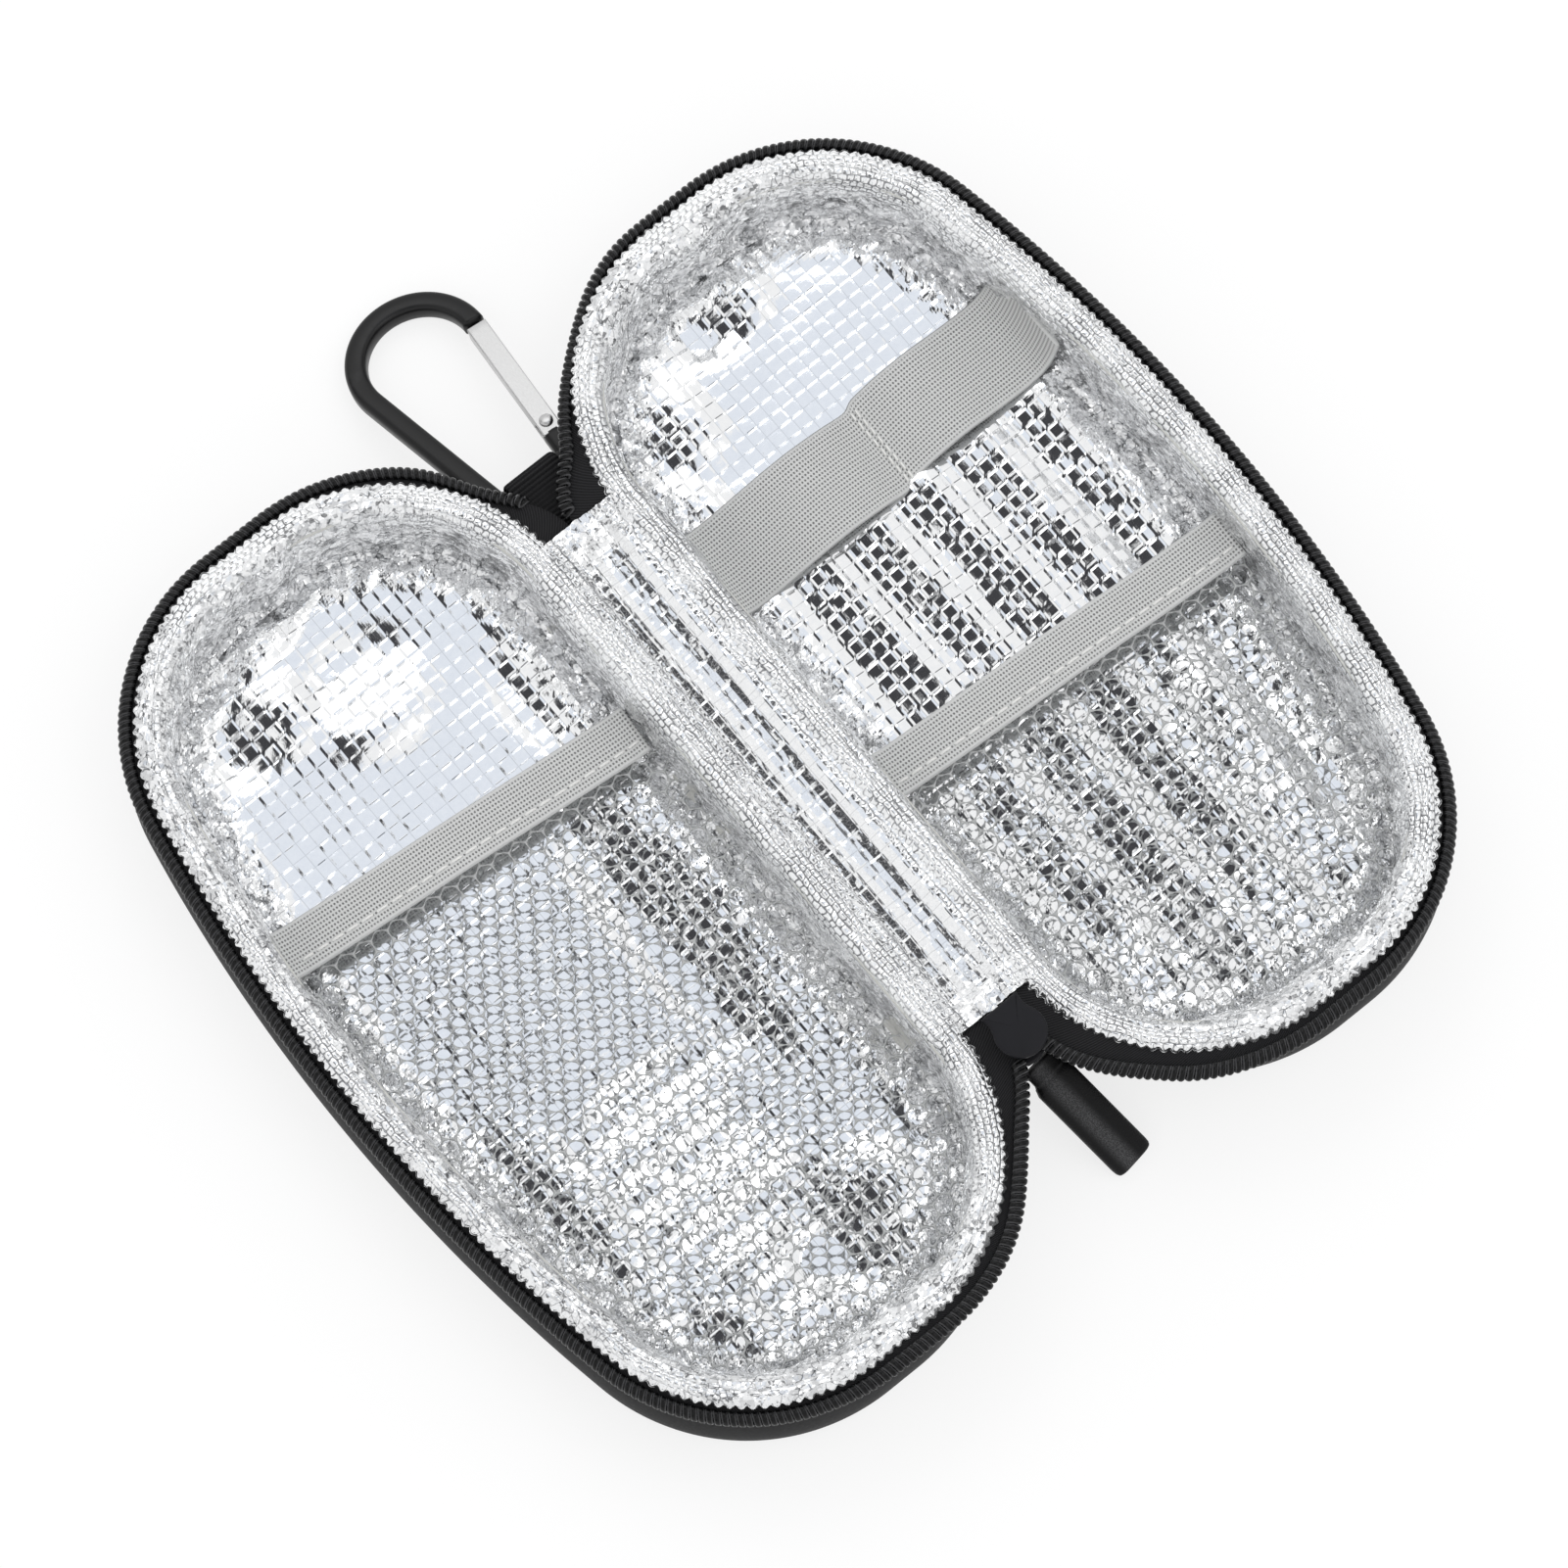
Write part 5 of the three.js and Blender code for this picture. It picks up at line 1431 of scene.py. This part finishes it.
# Snap hook
# A 4.5 mm aluminium rod, anodised black, is bent into a tapering D that is open along one limb. The
# narrow end passes through the webbing, and the wide end rests on the table.
hook_origin = np.array([loop_x, eye_y, eye_z])
hook_length = 51.0
rod_width = 4.5
rod_depth = 4.3
table_gap = 0.3
wide_half = 12.8
narrow_half = 8.65
hook_bend = 2.6
hinge_rise = 6.2
tang_half = 1.5
hook_tilt = -np.arcsin((eye_z - rod_width / 2 - table_gap) / hook_length)
wide_centre = hook_length - wide_half
limb_reach = wide_centre - hook_bend
taper = np.arcsin(wide_half / np.hypot(limb_reach, narrow_half)) - np.arctan2(narrow_half, limb_reach)
limb_foot = np.array([narrow_half, hook_bend])
limb_top = np.array([wide_half * np.cos(taper), wide_centre - wide_half * np.sin(taper)])
limb_way = (limb_top - limb_foot) / np.linalg.norm(limb_top - limb_foot)
gate_hinge = limb_foot + limb_way * hinge_rise
gate_length = np.linalg.norm(limb_top - gate_hinge)


def hook_run():
    """The rod's middle line, from under the gate's hinge round the D to where the gate's tip closes."""
    begin = gate_hinge - limb_way * 1.6
    bend = np.linspace(0, 1, 12)[:, None]
    lower_right = (1 - bend) ** 2 * limb_foot + 2 * bend * (1 - bend) * (narrow_half, 0)
    lower_right = lower_right + bend**2 * (narrow_half - hook_bend, 0)
    lower_left = lower_right[::-1] * (-1, 1)
    start_run = begin + (limb_foot - begin) * np.linspace(0, 1, 6, endpoint=False)[:, None]
    left_foot = limb_foot * (-1, 1)
    left_top = limb_top * (-1, 1)
    limb = left_foot + (left_top - left_foot) * np.linspace(0, 1, 30, endpoint=False)[1:, None]
    bow = unit_circle(np.linspace(np.pi + taper, -taper, 70)) * wide_half + (0, wide_centre)
    flat = np.vstack([start_run, lower_right, lower_left, limb, bow])
    return np.column_stack([flat, np.zeros(len(flat))])


def gate_frame(points):
    """Points drawn along Y from the gate's hinge, set into the hook's own plane."""
    cosine = np.cos(-taper)
    sine = np.sin(-taper)
    x = points[:, 0] * cosine - points[:, 1] * sine + gate_hinge[0]
    y = points[:, 0] * sine + points[:, 1] * cosine + gate_hinge[1]
    return np.column_stack([x, y, points[:, 2]])


rod = rod_mesh(hook_run(), rod_width, rod_depth, (0.0, 0.0, 1.0), 28, 3.4)
tang_round = unit_circle(np.linspace(0, np.pi, 14)) * tang_half
tang_outline = np.vstack([tang_round, [(-tang_half, -3 * tang_half), (tang_half, -3 * tang_half)]])
tongue_foot = gate_length - 3.0
tongue_end = gate_length + 1.5
tongue_outline = [(-1.0, tongue_foot), (1.0, tongue_foot), (1.0, tongue_end), (-1.0, tongue_end)]
tang, tongue = (plump_plate(outline, -1.0, 1.0, 0.2) for outline in (tang_outline, tongue_outline))
tang = (gate_frame(tang[0]), tang[1])
tongue = (gate_frame(tongue[0]), tongue[1])
hook_finish, start = new_finish("black anodised rod")
place = in_millimetres(start)
satin = speckle(place, 0.8, 3.0)
# Wear on the rod: lighter rubbed patches scattered at random.
wear_and_edge_highlight = ramped(speckle(place, 0.12, 3.0), 0.62, 0.75)
close_finish(start, {
    "Base Color": mixed(wear_and_edge_highlight, (0.007, 0.007, 0.0075), (0.016, 0.016, 0.017)),
    "Roughness": 0.24 + 0.12 * satin,
    "Normal": dented(start, satin * 0.012),
    "Specular IOR Level": 0.3,
})
points, faces = joined(rod, tang, tongue)
points = hung(points, hook_tilt, hook_origin)
hook = lay_piece("snap_hook", points, faces, "carabiner", hook_finish)
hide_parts("carabiner_frame")

# Gate
# A channel stamped from bright sheet closes the hook. It turns on a rivet through its lower end, and
# a small wire spring inside it pushes it shut against the rod's nose.
gate_half = 2.1
gate_sheet = 0.8
gate_inner = 1.3
cheek_round = 0.5
cheek_foot = 2.3
cheek_edge = 0.22
gate_tip = gate_length - 0.8
hinge_turn = np.linspace(np.pi, 2 * np.pi, 20)
hinge_side = np.where(np.cos(hinge_turn) < 0, -1, 1)[:, None]
hinge_end = unit_circle(hinge_turn) * cheek_round + hinge_side * (gate_half - cheek_round, 0)
hinge_end = hinge_end - (0, cheek_foot)
cheek = np.vstack([hinge_end, [(gate_half, gate_tip), (-gate_half, gate_tip)]])
upper_cheek = plump_plate(cheek, gate_inner, gate_inner + gate_sheet, cheek_edge)
lower_cheek = plump_plate(cheek, -gate_inner - gate_sheet, -gate_inner, cheek_edge)
web_inner = gate_sheet - gate_half
web_outline = [(-gate_half, gate_half), (web_inner, gate_half), (web_inner, gate_tip), (-gate_half, gate_tip)]
web = plump_plate(web_outline, -gate_inner - gate_sheet / 2, gate_inner + gate_sheet / 2, 0.1)
steel_finish, start = new_finish("bright stamped steel")
place = in_millimetres(start)
stretched = start.node("VectorMath", {"operation": "MULTIPLY"}, {0: place, 1: (6.0, 0.35, 6.0)})
brushed = speckle(stretched, 1.0, 3.0)
close_finish(start, {
    "Base Color": mixed(brushed, (0.47, 0.47, 0.47), (0.63, 0.63, 0.63)),
    "Roughness": 0.24 + 0.14 * brushed,
    "Normal": dented(start, brushed * 0.02),
    "Metallic": 1.0,
})
points, faces = joined(upper_cheek, lower_cheek, web)
points = hung(gate_frame(points), hook_tilt, hook_origin)
gate = lay_piece("hook_gate", points, faces, "gate", steel_finish)
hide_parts("carabiner_gate")

rivet_section = np.array([
    (0.0, 2.75), (0.5, 2.73), (0.95, 2.64), (1.25, 2.48), (1.4, 2.30), (1.35, 2.14), (0.9, 2.12), (0.9, 0.0),
])
rivet_section = np.vstack([rivet_section, rivet_section[::-1][1:] * (1, -1)])
sides = 28
rivet_circle = unit_circle(2 * np.pi * np.arange(sides) / sides)
rivet_rows = []
for radius, height in rivet_section:
    rivet_rows.append(np.column_stack([rivet_circle * max(radius, 0.02), np.full(sides, height)]))
faces = tube_faces(len(rivet_rows), sides, flipped=True)
points = hung(gate_frame(np.vstack(rivet_rows)), hook_tilt, hook_origin)
rivet = lay_piece("gate_rivet", points, faces, "carabiner", steel_finish)
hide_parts("carabiner_rivet")

spring_turns = 9
spring_radius = 0.58
spring_wire = 0.4
spring_foot = 4.3
spring_length = 9.6
spring_shift = 0.2
spring_turn = np.linspace(0, 2 * np.pi * spring_turns, spring_turns * 16)
spring_path = np.column_stack([
    np.cos(spring_turn) * spring_radius - spring_shift,
    spring_foot + spring_length * spring_turn / spring_turn[-1],
    np.sin(spring_turn) * spring_radius,
])
points, faces = rod_mesh(spring_path, spring_wire, spring_wire, (0.0, 1.0, 0.0), 8)
points = hung(gate_frame(points), hook_tilt, hook_origin)
spring = lay_piece("gate_spring", points, faces, "gate", steel_finish)
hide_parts("carabiner_spring")
